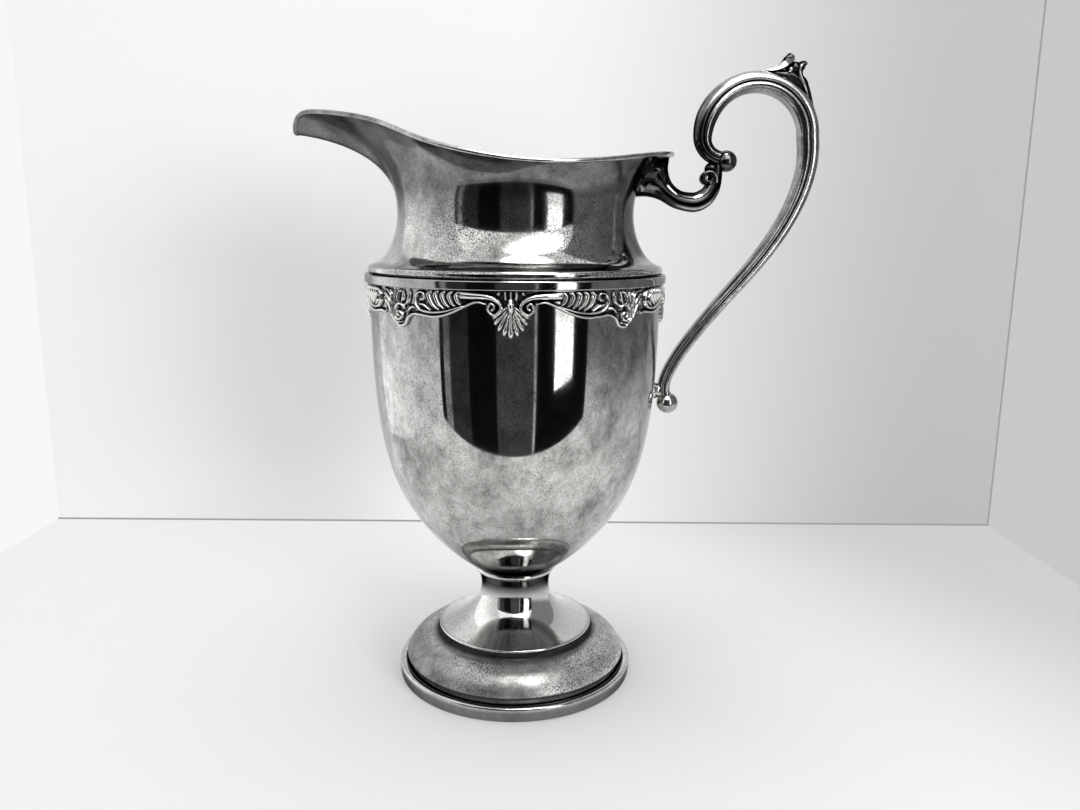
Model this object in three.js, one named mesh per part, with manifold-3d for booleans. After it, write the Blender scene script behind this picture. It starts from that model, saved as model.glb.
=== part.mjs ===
// Footed water pitcher in silver-plated sheet, with a cast border and a cast scroll handle.
// Millimetres, +Z up, the spout towards -X and the handle towards +X.
import * as THREE from 'three';
import { mergeVertices } from 'three/addons/utils/BufferGeometryUtils.js';
import Module from 'manifold-3d';

// Sheet and seams
const SHEET = 1.0; // thickness of the spun sheet
const SEAM = 0.3; // clearance left along each soldered seam

// Foot band, the upright ring that the pitcher stands on
const FOOT_BAND_LEDGE = 3.1; // how far it stands out beyond the dome
const FOOT_BAND_HEIGHT = 5.7;
const FOOT_BAND_ROUND = 1.1;

// Foot dome, with a groove under its edge and a cove up to the step
const FOOT_GROOVE_DEPTH = 1.2;
const FOOT_GROOVE_HEIGHT = 2.4;
const FOOT_DOME_RADIUS = 46.7;
const FOOT_DOME_EDGE = 0.7;
const FOOT_DOME_RISE = 7.7;
const FOOT_COVE_WIDTH = 3.8;
const FOOT_COVE_HEIGHT = 2.8;

// Pedestal: rolled step lip, trumpet and stem
const PEDESTAL_LIP_RADIUS = 32.7;
const PEDESTAL_LIP_HEIGHT = 1.3;
const PEDESTAL_LIP_OVERHANG = 0.5;
const PEDESTAL_LIP_WIDTH = 2.6;
const PEDESTAL_HEIGHT = 24.4;
const STEM_RADIUS = 14.5;
const STEM_TOP_RADIUS = 16.2;
const STEM_FLARE_HEIGHT = 6.3;

// Bead ring between the stem and the bowl
const COLLAR_OVERHANG = 0.9;
const COLLAR_HEIGHT = 1.7;
const COLLAR_WIDTH = 3.4;

// Bowl
const BOWL_RADIUS = 58.3;
const BOWL_HEIGHT = 123.1;

// Plain band round the seam of bowl and neck
const SHOULDER_BAND_HEIGHT = 2.9;
const SHOULDER_BAND_THICKNESS = 1.6;

// Neck, mouth and spout
const NECK_MOULDING_OVERHANG = 0.6;
const NECK_MOULDING_ROUND = 1.75;
const NECK_WAIST_INSET = 11.5; // from the bowl's radius in to the waist
const NECK_WAIST_HEIGHT = 24.0;
const MOUTH_INSET = 5.3; // from the bowl's radius in to the mouth
const MOUTH_HEIGHT = 38.0;
const MOUTH_BACK_OVERHANG = 2.1; // from the bowl's radius out to the back of the mouth
const MOUTH_BACK_RISE = 7.6;
const SPOUT_OVERHANG = 26.9; // from the bowl's radius out to the spout's tip
const SPOUT_RISE = 22.2;
const SPOUT_TIP_DEPTH = 6.2; // how far the tip dips below the spout's sides
const RIM_WIRE_DIAMETER = 1.5;

// Cast border under the shoulder band: how far each part of it hangs down, and how far it stands out
const BORDER_SHELL_DROP = 16.0;
const BORDER_ARM_DROP = 5.8;
const BORDER_COMB_DROP = 9.2;
const BORDER_PENDANT_DROP = 13.2;
const BORDER_BEAD = 1.6;
const BORDER_FIELD = 0.9;
const BORDER_EDGE = 0.6;

// Handle: upper loop, tail, and where they stand from the mouth and the bowl
const LOOP_RADIUS = 20.8;
const LOOP_OUT = 33.6; // from the back of the mouth to the loop's centre
const LOOP_UP = 7.9; // from the back of the mouth up to the loop's centre
const HANDLE_UPPER_THICKNESS = 8.2;
const HANDLE_UPPER_WIDTH = 9.4;
const HANDLE_CURL_THICKNESS = 5.8;
const HANDLE_CURL_WIDTH = 7.0;
const HANDLE_LOWER_THICKNESS = 5.0;
const HANDLE_LOWER_WIDTH = 6.4;
const HANDLE_END_BELOW_MOUTH = 48.9; // from the bowl's mouth down to the handle's lower end
const HANDLE_END_STANDOFF = 5.0; // from the bowl to the middle of the handle's lower end
const SCROLL_BALL_RADIUS = 4.2;
const FOOT_BALL_RADIUS = 4.4;
const FOOT_PAD_RADIUS = 3.8;
const FOOT_PAD_SADDLE = 1.0;
const FOOT_PAD_RAISE = 1.4;

// Bracket from the neck to the handle's curl, ending in a volute
const BRACKET_ROOT_BELOW_MOUTH = 6.4;
const BRACKET_ROOT_SINK = 5.0;
const BRACKET_SAG = 16.0;
const BRACKET_ROOT_THICKNESS = 20.0;
const BRACKET_ROOT_WIDTH = 17.0;
const BRACKET_THICKNESS = 6.2;
const BRACKET_WIDTH = 8.0;
const VOLUTE_RADIUS = 3.4;
const VOLUTE_WIDTH = 7.0;

// Forked leaf on the handle's back
const LEAF_COVER = 1.5; // how far its flanges stand off the handle
const LEAF_HEIGHT = 8.3; // from the handle's back to the tips
const LEAF_WIDTH = 7.0;
const LEAF_BEVEL = 0.6;

// Shape of the curves, as angles, powers and shares of the spans that they cross
const DEGREE = Math.PI / 180;
const BOWL_SIDE_SHARE = 0.527; // how far down the near-upright side runs
const BOWL_TURN_SHARE = 0.229; // how far up the round underside runs
const BOWL_TAPER = 0.991;
const BOWL_FULLNESS = 0.972;
const SPOUT_HALF_ANGLE = 24 * DEGREE;
const SPOUT_TIP_HALF_ANGLE = 6 * DEGREE;
const SPOUT_RISE_POWER = 7.5;
const MOUTH_BACK_POWER = 6;
const MOUTH_BACK_RISE_POWER = 10;
const CURL_START_ANGLE = 180 * DEGREE; // the loop is round up to here and then winds in
const CURL_END_ANGLE = 210 * DEGREE;
const CURL_TIGHTNESS = 0.79; // share of the radius lost in one radian of winding, squared
const BRACKET_MEETING_ANGLE = 207.5 * DEGREE;
const BRACKET_ROOT_SHARE = 0.2; // how far along the bracket its broad foot fades
const BRACKET_SAG_AT = 0.39; // how far along the bracket it starts to sag
const BRACKET_SAG_SHARE = 0.7; // share of the sag that it has there
const BRACKET_END_SHARE = 0.6; // how far into the volute's far side the bracket runs
const SPOUT_FULLNESS = 0.07; // how much further up the spout keeps the waist's radius
const SHELL_COUNT = 4;

// Control points of the curves, as shares of the way across and of the way up
const CREST_CURVE = [[0, 0.5], [0.4, 0.95]];
const COVE_CURVE = [[0.7, 0], [1, 0.3]];
const TRUMPET_CURVE = [[0.71, 0.26], [1, 0.58]];
const FLARE_CURVE = [[0, 0.4], [0.5, 0.8]];
const NECK_FOOT_CURVE = [[0.6, 0.18], [1, 0.57]];
const MOUTH_CURVE = [[0, 0.5], [0.42, 0.8]];

// The handle's tail, as shares of the way from the loop down to the handle's lower end
const TAIL_UPPER = [[-0.075, 0.236], [0.328, 0.472], [0.486, 0.567]];
const TAIL_LOWER = [[0.748, 0.723], [1.065, 0.918], [1, 1]];

// Facets
const ROUND_STEPS = 40;
const NECK_STEPS = 48;
const CURVE_STEPS = 9;
const TUBE_SIDES = 10;
const WIRE_SIDES = 6;
const LOOP_STEPS = 22;
const TAIL_STEPS = 9;
const BRACKET_STEPS = 12;
const COVE_STEPS = 3;
const NECK_FOOT_STEPS = 5;
const MOUTH_STEPS = 7;
const BALL_SIDES = 16;
const BALL_RINGS = 10;

// Heights of the seams, from the table upwards
const domeBase = FOOT_BAND_HEIGHT + SEAM;
const domeEdge = domeBase + FOOT_GROOVE_HEIGHT + FOOT_DOME_EDGE;
const coveBase = domeEdge + FOOT_DOME_RISE;
const domeTop = coveBase + FOOT_COVE_HEIGHT;
const pedestalBase = domeTop + SEAM;
const stemTop = pedestalBase + PEDESTAL_HEIGHT;
const collarBase = stemTop + SEAM;
const bowlBase = collarBase + COLLAR_HEIGHT + SEAM;
const bowlMouth = bowlBase + BOWL_HEIGHT;
const neckBase = bowlMouth + SEAM;
const waistHeight = neckBase + NECK_WAIST_HEIGHT;
const mouthHeight = neckBase + MOUTH_HEIGHT;
const shoulderBandBase = bowlMouth - SHOULDER_BAND_HEIGHT;
const borderTop = shoulderBandBase - SEAM;

// Radii that follow from the piece that each one sits on
const footGrooveRadius = FOOT_DOME_RADIUS - FOOT_GROOVE_DEPTH;
const footBandRadius = FOOT_DOME_RADIUS + FOOT_BAND_LEDGE;
const footStepRadius = PEDESTAL_LIP_RADIUS - PEDESTAL_LIP_OVERHANG;
const footCoveRadius = footStepRadius + FOOT_COVE_WIDTH;
const collarRadius = STEM_TOP_RADIUS + COLLAR_OVERHANG;
const neckMouldingRadius = BOWL_RADIUS + NECK_MOULDING_OVERHANG;
const neckWaistRadius = BOWL_RADIUS - NECK_WAIST_INSET;
const mouthRadius = BOWL_RADIUS - MOUTH_INSET;
const mouthBackReach = BOWL_RADIUS + MOUTH_BACK_OVERHANG;
const spoutReach = BOWL_RADIUS + SPOUT_OVERHANG;

const wasm = await Module();
wasm.setup();

const plane = (x, z) => new THREE.Vector2(x, z);
const mix = THREE.MathUtils.lerp;

// Points along a cubic curve given by its four control points
function cubic(controls, steps) {
  return new THREE.CubicBezierCurve(...controls).getPoints(steps);
}

// Points at given shares of the way across and up from one point to another
const between = (from, to, shares) => shares.map(([x, z]) => plane(
  mix(from.x, to.x, x),
  mix(from.y, to.y, z),
));

// Points along an arc about a centre, in the plane of a profile
function arc(centre, radius, from, to, steps) {
  const points = [];
  for (let i = 0; i <= steps; i += 1) {
    const angle = mix(from, to, i / steps);
    points.push(plane(centre.x + radius * Math.cos(angle), centre.y + radius * Math.sin(angle)));
  }
  return points;
}

// The same line moved square to itself, to its left as it runs upwards when the distance is positive
function parallel(points, distance) {
  return points.map((point, i) => {
    const before = points[Math.max(i - 1, 0)];
    const after = points[Math.min(i + 1, points.length - 1)];
    const along = after.clone().sub(before).normalize();
    return plane(point.x - along.y * distance, point.y + along.x * distance);
  });
}

// Turns a geometry's faces outwards, with nothing kept but its shared points
function closedBody(geometry) {
  geometry.deleteAttribute('normal');
  geometry.deleteAttribute('uv');
  const merged = mergeVertices(geometry);
  const at = merged.getAttribute('position');
  const index = merged.getIndex();
  const faces = [];
  const corner = [new THREE.Vector3(), new THREE.Vector3(), new THREE.Vector3()];
  let volume = 0;
  for (let i = 0; i < index.count; i += 3) {
    const [a, b, c] = [index.getX(i), index.getX(i + 1), index.getX(i + 2)];
    if (a === b || b === c || c === a) continue;
    [a, b, c].forEach((k, n) => corner[n].fromBufferAttribute(at, k));
    volume += corner[0].dot(corner[1].clone().cross(corner[2]));
    faces.push(a, b, c);
  }
  merged.setIndex(volume < 0 ? faces.reverse() : faces);
  return merged;
}

// Triangles that close a flat ring, running round it the way that the ring runs
function capFaces(ring) {
  const normal = new THREE.Vector3();
  ring.forEach((p, i) => normal.add(p.clone().cross(ring[(i + 1) % ring.length])));
  normal.normalize();
  const across = new THREE.Vector3(0, 1, 0).cross(normal);
  if (across.length() < 0.5) across.set(1, 0, 0).cross(normal);
  across.normalize();
  const up = normal.clone().cross(across);
  return THREE.ShapeUtils.triangulateShape(ring.map((p) => plane(p.dot(across), p.dot(up))), []);
}

// A body through matching rings: joined end to start, or closed by a flat cap at each end
function loft(rings, joined) {
  const sides = rings[0].length;
  const last = (rings.length - 1) * sides;
  const faces = [];
  for (let i = 0; i < (joined ? rings.length : rings.length - 1); i += 1) {
    const here = i * sides;
    const next = ((i + 1) % rings.length) * sides;
    for (let j = 0; j < sides; j += 1) {
      const k = (j + 1) % sides;
      faces.push(here + j, here + k, next + k, here + j, next + k, next + j);
    }
  }
  if (!joined) {
    capFaces(rings[0]).forEach(([a, b, c]) => faces.push(a, c, b));
    capFaces(rings.at(-1)).forEach(([a, b, c]) => faces.push(last + a, last + b, last + c));
  }
  const geometry = new THREE.BufferGeometry().setFromPoints(rings.flat());
  geometry.setIndex(faces);
  return closedBody(geometry);
}

// A round piece turned from a profile of radii and heights that closes on itself or on the axis
function turned(profile) {
  const closes = profile[0].x > 0;
  const points = closes ? [...profile, profile[0].clone()] : profile;
  return closedBody(new THREE.LatheGeometry(points, ROUND_STEPS).rotateX(Math.PI / 2));
}

// Joins and cuts
function solid(geometry) {
  return new wasm.Manifold(new wasm.Mesh({
    numProp: 3,
    vertProperties: new Float32Array(geometry.getAttribute('position').array),
    triVerts: new Uint32Array(geometry.getIndex().array),
  }));
}

function fromSolid(body) {
  const mesh = body.getMesh();
  const geometry = new THREE.BufferGeometry();
  geometry.setAttribute('position', new THREE.BufferAttribute(mesh.vertProperties, mesh.numProp));
  geometry.setIndex(new THREE.BufferAttribute(mesh.triVerts, 1));
  return geometry;
}

const cut = (geometry, ...cutters) => fromSolid(
  cutters.reduce((body, cutter) => body.subtract(solid(cutter)), solid(geometry)),
);

// Foot band
function footBand() {
  const inner = footGrooveRadius - SHEET;
  const centre = plane(footBandRadius - FOOT_BAND_ROUND, FOOT_BAND_HEIGHT - FOOT_BAND_ROUND);
  return turned([
    plane(inner, 0),
    plane(footBandRadius, 0),
    ...arc(centre, FOOT_BAND_ROUND, 0, Math.PI / 2, 3),
    plane(inner, FOOT_BAND_HEIGHT),
  ]);
}

// Foot dome: groove, convex dome, then the cove that rises to the step
function footDome() {
  const edge = plane(FOOT_DOME_RADIUS, domeEdge);
  const bend = plane(footCoveRadius, coveBase);
  const step = plane(footStepRadius, domeTop);
  const crest = cubic([edge, ...between(edge, bend, CREST_CURVE), bend], CURVE_STEPS - COVE_STEPS);
  const cove = cubic([bend, ...between(bend, step, COVE_CURVE), step], COVE_STEPS);
  const skin = [...crest, ...cove.slice(1)];
  const inside = parallel(skin, SHEET);
  inside.at(-1).set(footStepRadius - SHEET, domeTop);
  return turned([
    plane(footGrooveRadius - SHEET, domeBase),
    plane(footGrooveRadius, domeBase),
    plane(footGrooveRadius, domeBase + FOOT_GROOVE_HEIGHT),
    plane(FOOT_DOME_RADIUS, domeBase + FOOT_GROOVE_HEIGHT),
    ...skin,
    ...inside.reverse().slice(0, -1),
    plane(footGrooveRadius - SHEET, domeEdge),
  ]);
}

// Pedestal: step lip, trumpet, narrow stem and the small flare under the collar
function pedestal() {
  const lipTop = pedestalBase + PEDESTAL_LIP_HEIGHT;
  const foot = plane(PEDESTAL_LIP_RADIUS - PEDESTAL_LIP_HEIGHT / 2, lipTop);
  const waist = plane(STEM_RADIUS, stemTop - STEM_FLARE_HEIGHT);
  const top = plane(STEM_TOP_RADIUS, stemTop);
  const trumpet = cubic([foot, ...between(foot, waist, TRUMPET_CURVE), waist], CURVE_STEPS);
  const flare = cubic([waist, ...between(waist, top, FLARE_CURVE), top], COVE_STEPS);
  const skin = [...trumpet, ...flare.slice(1)];
  const inside = parallel(skin, SHEET).slice(1);
  inside.at(-1).set(STEM_TOP_RADIUS - SHEET, stemTop);
  return turned([
    plane(PEDESTAL_LIP_RADIUS - PEDESTAL_LIP_WIDTH, pedestalBase),
    plane(PEDESTAL_LIP_RADIUS - PEDESTAL_LIP_HEIGHT / 4, pedestalBase),
    plane(PEDESTAL_LIP_RADIUS, pedestalBase + PEDESTAL_LIP_HEIGHT / 2),
    ...skin,
    ...inside.reverse(),
  ]);
}

// Bead ring under the bowl
function stemCollar() {
  const half = COLLAR_HEIGHT / 2;
  const centre = plane(collarRadius - half, collarBase + half);
  return turned([
    plane(collarRadius - COLLAR_WIDTH, collarBase),
    ...arc(centre, half, -Math.PI / 2, Math.PI / 2, 4),
    plane(collarRadius - COLLAR_WIDTH, collarBase + COLLAR_HEIGHT),
  ]);
}

// The bowl's outer side, from the edge of its flat underside up to its mouth
function bowlSide(offset = 0) {
  const side = cubic([
    plane(collarRadius, bowlBase),
    plane(BOWL_RADIUS * BOWL_FULLNESS, bowlBase + BOWL_HEIGHT * BOWL_TURN_SHARE),
    plane(BOWL_RADIUS * BOWL_TAPER, bowlMouth - BOWL_HEIGHT * BOWL_SIDE_SHARE),
    plane(BOWL_RADIUS, bowlMouth),
  ], CURVE_STEPS + 3);
  return parallel(side, -offset);
}

function bowl() {
  const inside = bowlSide(-SHEET);
  inside.at(-1).set(BOWL_RADIUS - SHEET, bowlMouth);
  return turned([
    plane(0, bowlBase),
    ...bowlSide(),
    ...inside.reverse(),
    plane(0, bowlBase + SHEET),
  ]);
}

// The bowl's outer radius at a height
function bowlRadius(height) {
  const side = bowlSide();
  const above = side.findIndex((point) => point.y >= height);
  const [low, high] = [side[Math.max(above - 1, 0)], side[above]];
  return mix(low.x, high.x, (height - low.y) / (high.y - low.y || 1));
}

function shoulderBand() {
  const inner = BOWL_RADIUS + SEAM;
  const round = SHOULDER_BAND_THICKNESS / 3;
  const outer = inner + SHOULDER_BAND_THICKNESS;
  return turned([
    plane(inner, shoulderBandBase),
    plane(outer - round, shoulderBandBase),
    plane(outer, shoulderBandBase + round),
    plane(outer, bowlMouth - round),
    plane(outer - round, bowlMouth),
    plane(inner, bowlMouth),
  ]);
}

// How far the mouth is drawn out into the spout at a turn from it
const spoutShare = (turn) => Math.exp(-((turn / SPOUT_HALF_ANGLE) ** 2));

// The edge of the mouth at a turn from the spout, which points to -X
function lip(turn) {
  const tip = Math.exp(-((turn / SPOUT_TIP_HALF_ANGLE) ** 2));
  const back = Math.abs(Math.sin(turn / 2));
  return plane(
    mouthRadius
      + (spoutReach - mouthRadius) * spoutShare(turn)
      + (mouthBackReach - mouthRadius) * back ** MOUTH_BACK_POWER,
    mouthHeight
      + SPOUT_RISE * Math.abs(Math.cos(turn / 2)) ** SPOUT_RISE_POWER
      + MOUTH_BACK_RISE * back ** MOUTH_BACK_RISE_POWER
      - SPOUT_TIP_DEPTH * tip,
  );
}

// The neck's outer side at a turn, from the top of its foot moulding up to the mouth
function neckSide(turn, offset = 0) {
  const edge = lip(turn);
  const mouldingTop = neckBase + 2 * NECK_MOULDING_ROUND;
  const start = plane(neckMouldingRadius - NECK_MOULDING_ROUND * 0.9, mouldingTop);
  const waist = plane(neckWaistRadius, waistHeight);
  const lower = cubic([start, ...between(start, waist, NECK_FOOT_CURVE), waist], NECK_FOOT_STEPS);
  const [nearWaist, nearEdge] = between(waist, edge, MOUTH_CURVE);
  nearWaist.y += SPOUT_FULLNESS * spoutShare(turn) * (edge.y - waistHeight);
  const upper = cubic([waist, nearWaist, nearEdge, edge], MOUTH_STEPS);
  return parallel([...lower, ...upper.slice(1)], -offset);
}

// Turns from the spout, close together round the spout and wider at the back
function neckTurns() {
  const turns = [];
  for (let i = 0; i < NECK_STEPS; i += 1) {
    const share = i / NECK_STEPS - 0.5;
    turns.push(2 * Math.PI * share - Math.sin(2 * Math.PI * share) / 2);
  }
  return turns;
}

// A profile's points stood up at a turn from the spout
function stoodUp(profile, turn) {
  return profile.map((p) => new THREE.Vector3(-p.x * Math.cos(turn), -p.x * Math.sin(turn), p.y));
}

function neck() {
  const round = NECK_MOULDING_ROUND;
  const centre = plane(neckMouldingRadius - round, neckBase + round);
  const moulding = arc(centre, round, -Math.PI / 3, Math.PI / 3, 3);
  const rings = neckTurns().map((turn) => stoodUp([
    plane(BOWL_RADIUS - 2 * SHEET, neckBase),
    plane(moulding[0].x, neckBase),
    ...moulding,
    ...neckSide(turn),
    ...neckSide(turn, -SHEET).reverse(),
  ], turn));
  return loft(rings, true);
}

// The wire that closes the sheet's edge all round the mouth
function rimWire(extra = 0) {
  const radius = RIM_WIRE_DIAMETER / 2;
  const rings = neckTurns().map((turn) => {
    const [before, edge] = neckSide(turn, -SHEET / 2).slice(-2);
    const along = edge.clone().sub(before).normalize();
    const centre = edge.clone().addScaledVector(along, radius + SEAM);
    const round = arc(centre, radius + extra, 0, 2 * Math.PI, WIRE_SIDES);
    return stoodUp(round.slice(0, -1), turn);
  });
  return loft(rings, true);
}

// Lower outline of half a border casting: turn from the shell's middle and drop below the top
const halfTurn = Math.PI / SHELL_COUNT;
const BORDER_OUTLINE = [
  [0, BORDER_SHELL_DROP],
  [0.066, mix(BORDER_ARM_DROP, BORDER_SHELL_DROP, 0.93)],
  [0.113, mix(BORDER_ARM_DROP, BORDER_SHELL_DROP, 0.6)],
  [0.145, mix(BORDER_ARM_DROP, BORDER_SHELL_DROP, 0.27)],
  [0.2, mix(BORDER_ARM_DROP, BORDER_SHELL_DROP, 0.12)],
  [0.23, BORDER_ARM_DROP],
  [0.33, BORDER_ARM_DROP],
  [0.45, mix(BORDER_ARM_DROP, BORDER_COMB_DROP, 0.5)],
  [0.6, BORDER_COMB_DROP],
  [0.7, mix(BORDER_ARM_DROP, BORDER_COMB_DROP, 0.9)],
  [0.76, mix(BORDER_COMB_DROP, BORDER_PENDANT_DROP, 0.1)],
  [0.85, mix(BORDER_COMB_DROP, BORDER_PENDANT_DROP, 0.7)],
  [1, BORDER_PENDANT_DROP],
];

// Section of a casting: share of its drop, and how far it stands out there
const BORDER_SECTION = [
  [0, 0],
  [0.5, 0],
  [1, 0],
  [1, BORDER_EDGE],
  [0.86, BORDER_BEAD],
  [0.66, BORDER_FIELD],
  [0.25, BORDER_FIELD],
  [0.1, BORDER_BEAD],
  [0, BORDER_EDGE],
];

// One casting: raised along its top and round its scalloped edge, lower in between
function borderCasting(middle) {
  const seamTurn = SEAM / 2 / BOWL_RADIUS;
  const half = BORDER_OUTLINE.map(([share, drop]) => [share * (halfTurn - seamTurn), drop]);
  const mirrored = half.slice(1).reverse().map(([turn, drop]) => [-turn, drop]);
  const rings = [...mirrored, ...half].map(([turn, drop]) => {
    const section = BORDER_SECTION.map(([share, thickness]) => {
      const height = borderTop - drop * share;
      return plane(bowlRadius(height) + SEAM + thickness, height);
    });
    return stoodUp(section, middle + turn);
  });
  return loft(rings, false);
}

// Handle: the middle of the loop, and the lower end beside the bowl
const mouthBack = lip(Math.PI);
const loopCentre = plane(mouthBack.x + LOOP_OUT, mouthBack.y + LOOP_UP);
const handleEndHeight = bowlMouth - HANDLE_END_BELOW_MOUTH;
const handleEnd = plane(bowlRadius(handleEndHeight) + HANDLE_END_STANDOFF, handleEndHeight);

function loopPoint(angle) {
  const radius = LOOP_RADIUS * (1 - CURL_TIGHTNESS * Math.max(0, angle - CURL_START_ANGLE) ** 2);
  return arc(loopCentre, radius, angle, angle, 1)[0];
}

// The handle's middle line with its thickness and width, from the curled end to the lower end
function handleLine() {
  const line = [];
  const add = (at, thickness, width) => line.push({ at, thickness, width });
  for (let i = 0; i < LOOP_STEPS; i += 1) {
    const angle = mix(CURL_END_ANGLE, 0, i / LOOP_STEPS);
    const curled = THREE.MathUtils.smoothstep(angle, CURL_START_ANGLE - Math.PI / 6, CURL_END_ANGLE);
    add(
      loopPoint(angle),
      mix(HANDLE_UPPER_THICKNESS, HANDLE_CURL_THICKNESS, curled),
      mix(HANDLE_UPPER_WIDTH, HANDLE_CURL_WIDTH, curled),
    );
  }
  const start = loopPoint(0);
  const upper = between(start, handleEnd, TAIL_UPPER);
  const lower = between(start, handleEnd, TAIL_LOWER);
  const tail = [
    ...cubic([start, ...upper], TAIL_STEPS),
    ...cubic([upper.at(-1), ...lower], TAIL_STEPS).slice(1),
  ];
  tail.forEach((at, i) => {
    const share = i / (tail.length - 1);
    add(
      at,
      mix(HANDLE_LOWER_THICKNESS, HANDLE_UPPER_THICKNESS, (1 - share) ** 2),
      mix(HANDLE_LOWER_WIDTH, HANDLE_UPPER_WIDTH, (1 - share) ** 2),
    );
  });
  return line;
}

// An oval bar along a line in the plane of the handle
function bar(line, extra = 0) {
  const rings = line.map(({ at, thickness, width }, i) => {
    const before = line[Math.max(i - 1, 0)].at;
    const after = line[Math.min(i + 1, line.length - 1)].at;
    const along = after.clone().sub(before).normalize();
    const ring = [];
    for (let j = 0; j < TUBE_SIDES; j += 1) {
      const angle = 2 * Math.PI * j / TUBE_SIDES;
      const across = (thickness / 2 + extra) * Math.cos(angle);
      const depth = (width / 2 + extra) * Math.sin(angle);
      ring.push(new THREE.Vector3(at.x - along.y * across, depth, at.y + along.x * across));
    }
    return ring;
  });
  return loft(rings, false);
}

// Where a ball sits on the first end of a line: its middle, the way out, and the depth of its flat
function ballSeat(line, radius) {
  const out = line[0].at.clone().sub(line[1].at).normalize();
  const half = Math.min(line[0].thickness / 2, radius * 0.9);
  const toFlat = Math.sqrt(radius ** 2 - half ** 2);
  return { centre: line[0].at.clone().addScaledVector(out, toFlat + SEAM), out, toFlat };
}

function ball(centre, radius) {
  const sphere = new THREE.SphereGeometry(radius, BALL_SIDES, BALL_RINGS).translate(centre.x, 0, centre.y);
  return closedBody(sphere);
}

// A ball on the end of a bar, with a flat where the bar's end is soldered to it
function endBall(line, radius) {
  const { centre, out, toFlat } = ballSeat(line, radius);
  const beyond = new THREE.BoxGeometry(2 * radius, 4 * radius, 4 * radius);
  beyond.translate(-toFlat - radius, 0, 0);
  beyond.rotateY(-Math.atan2(out.y, out.x)).translate(centre.x, 0, centre.y);
  return cut(ball(centre, radius), closedBody(beyond));
}

// Pad between the bowl and the handle's lower end, hollowed to sit on both and clear the ball
function handleFootPad(line) {
  const height = handleEndHeight + FOOT_PAD_RAISE;
  const inner = bowlRadius(height) - SHEET;
  const nearest = line.reduce((best, step) => (
    Math.abs(step.at.y - height) < Math.abs(best.at.y - height) ? step : best
  ));
  const outer = nearest.at.x - nearest.thickness / 2 + FOOT_PAD_SADDLE;
  const pad = new THREE.CylinderGeometry(FOOT_PAD_RADIUS, FOOT_PAD_RADIUS, outer - inner, BALL_SIDES);
  pad.rotateZ(Math.PI / 2).translate((inner + outer) / 2, 0, height);
  const body = turned([plane(0, bowlBase - SEAM), ...bowlSide(SEAM), plane(0, bowlMouth)]);
  const footBall = ballSeat(line.toReversed(), FOOT_BALL_RADIUS).centre;
  return cut(closedBody(pad), body, bar(line, SEAM), ball(footBall, FOOT_BALL_RADIUS + SEAM));
}

// Bracket: a broad foot on the flare of the neck, tapering to a volute under the handle's curl
function handleBracket(line) {
  const meets = loopPoint(BRACKET_MEETING_ANGLE);
  const ahead = loopPoint(BRACKET_MEETING_ANGLE + DEGREE);
  const along = ahead.sub(meets).normalize();
  const stand = HANDLE_CURL_THICKNESS / 2 + 2 * SEAM + VOLUTE_RADIUS;
  const volute = plane(meets.x + along.y * stand, meets.y - along.x * stand);
  const rootHeight = mouthBack.y - BRACKET_ROOT_BELOW_MOUTH;
  const root = plane(neckWaistRadius + BRACKET_ROOT_SINK, rootHeight);
  const end = plane(volute.x + VOLUTE_RADIUS * BRACKET_END_SHARE, volute.y);
  const sagging = root.clone().lerp(end, BRACKET_SAG_AT);
  const steps = cubic([
    root,
    plane(sagging.x, sagging.y - BRACKET_SAG * BRACKET_SAG_SHARE),
    plane(end.x, end.y - BRACKET_SAG),
    end,
  ], BRACKET_STEPS);
  const arm = steps.map((at, i) => {
    const spread = Math.exp(-i / (steps.length - 1) / BRACKET_ROOT_SHARE);
    return {
      at,
      thickness: mix(BRACKET_THICKNESS, BRACKET_ROOT_THICKNESS, spread),
      width: mix(BRACKET_WIDTH, BRACKET_ROOT_WIDTH, spread),
    };
  });
  const fullTurn = 2 * Math.PI;
  const backTurns = neckTurns()
    .map((turn) => (turn + fullTurn) % fullTurn)
    .filter((turn) => Math.abs(turn - Math.PI) < Math.PI / 2)
    .sort((a, b) => a - b);
  const aboveMouth = mouthBack.y + BRACKET_ROOT_THICKNESS;
  const wall = loft(backTurns.map((turn) => stoodUp([
    plane(neckWaistRadius / 2, neckBase + 2 * NECK_MOULDING_ROUND),
    ...neckSide(turn, SEAM),
    plane(lip(turn).x, aboveMouth),
    plane(neckWaistRadius / 2, aboveMouth),
  ], turn)), false);
  const drum = new THREE.CylinderGeometry(VOLUTE_RADIUS, VOLUTE_RADIUS, VOLUTE_WIDTH, BALL_SIDES);
  const eye = closedBody(drum.translate(volute.x, 0, volute.y));
  const joined = solid(bar(arm)).add(solid(eye)).subtract(solid(wall));
  return fromSolid(joined.subtract(solid(rimWire(SEAM))).subtract(solid(bar(line, SEAM))));
}

// Outline of the leaf: degrees round the loop, then shares of its cover and of its height
const LEAF_OUTLINE = [
  [90, 0.5, 0],
  [80, 1, 0],
  [74, 1.6, 0],
  [71, 0, 0.7],
  [70, 0, 1],
  [65, 0, 0.8],
  [62, 0, 0.65],
  [60, 0, 0.75],
  [57, 0, 1],
  [56, 0, 0.7],
  [50, 1.7, 0],
  [40, 1, 0],
  [32, 0.33, 0],
];

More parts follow.
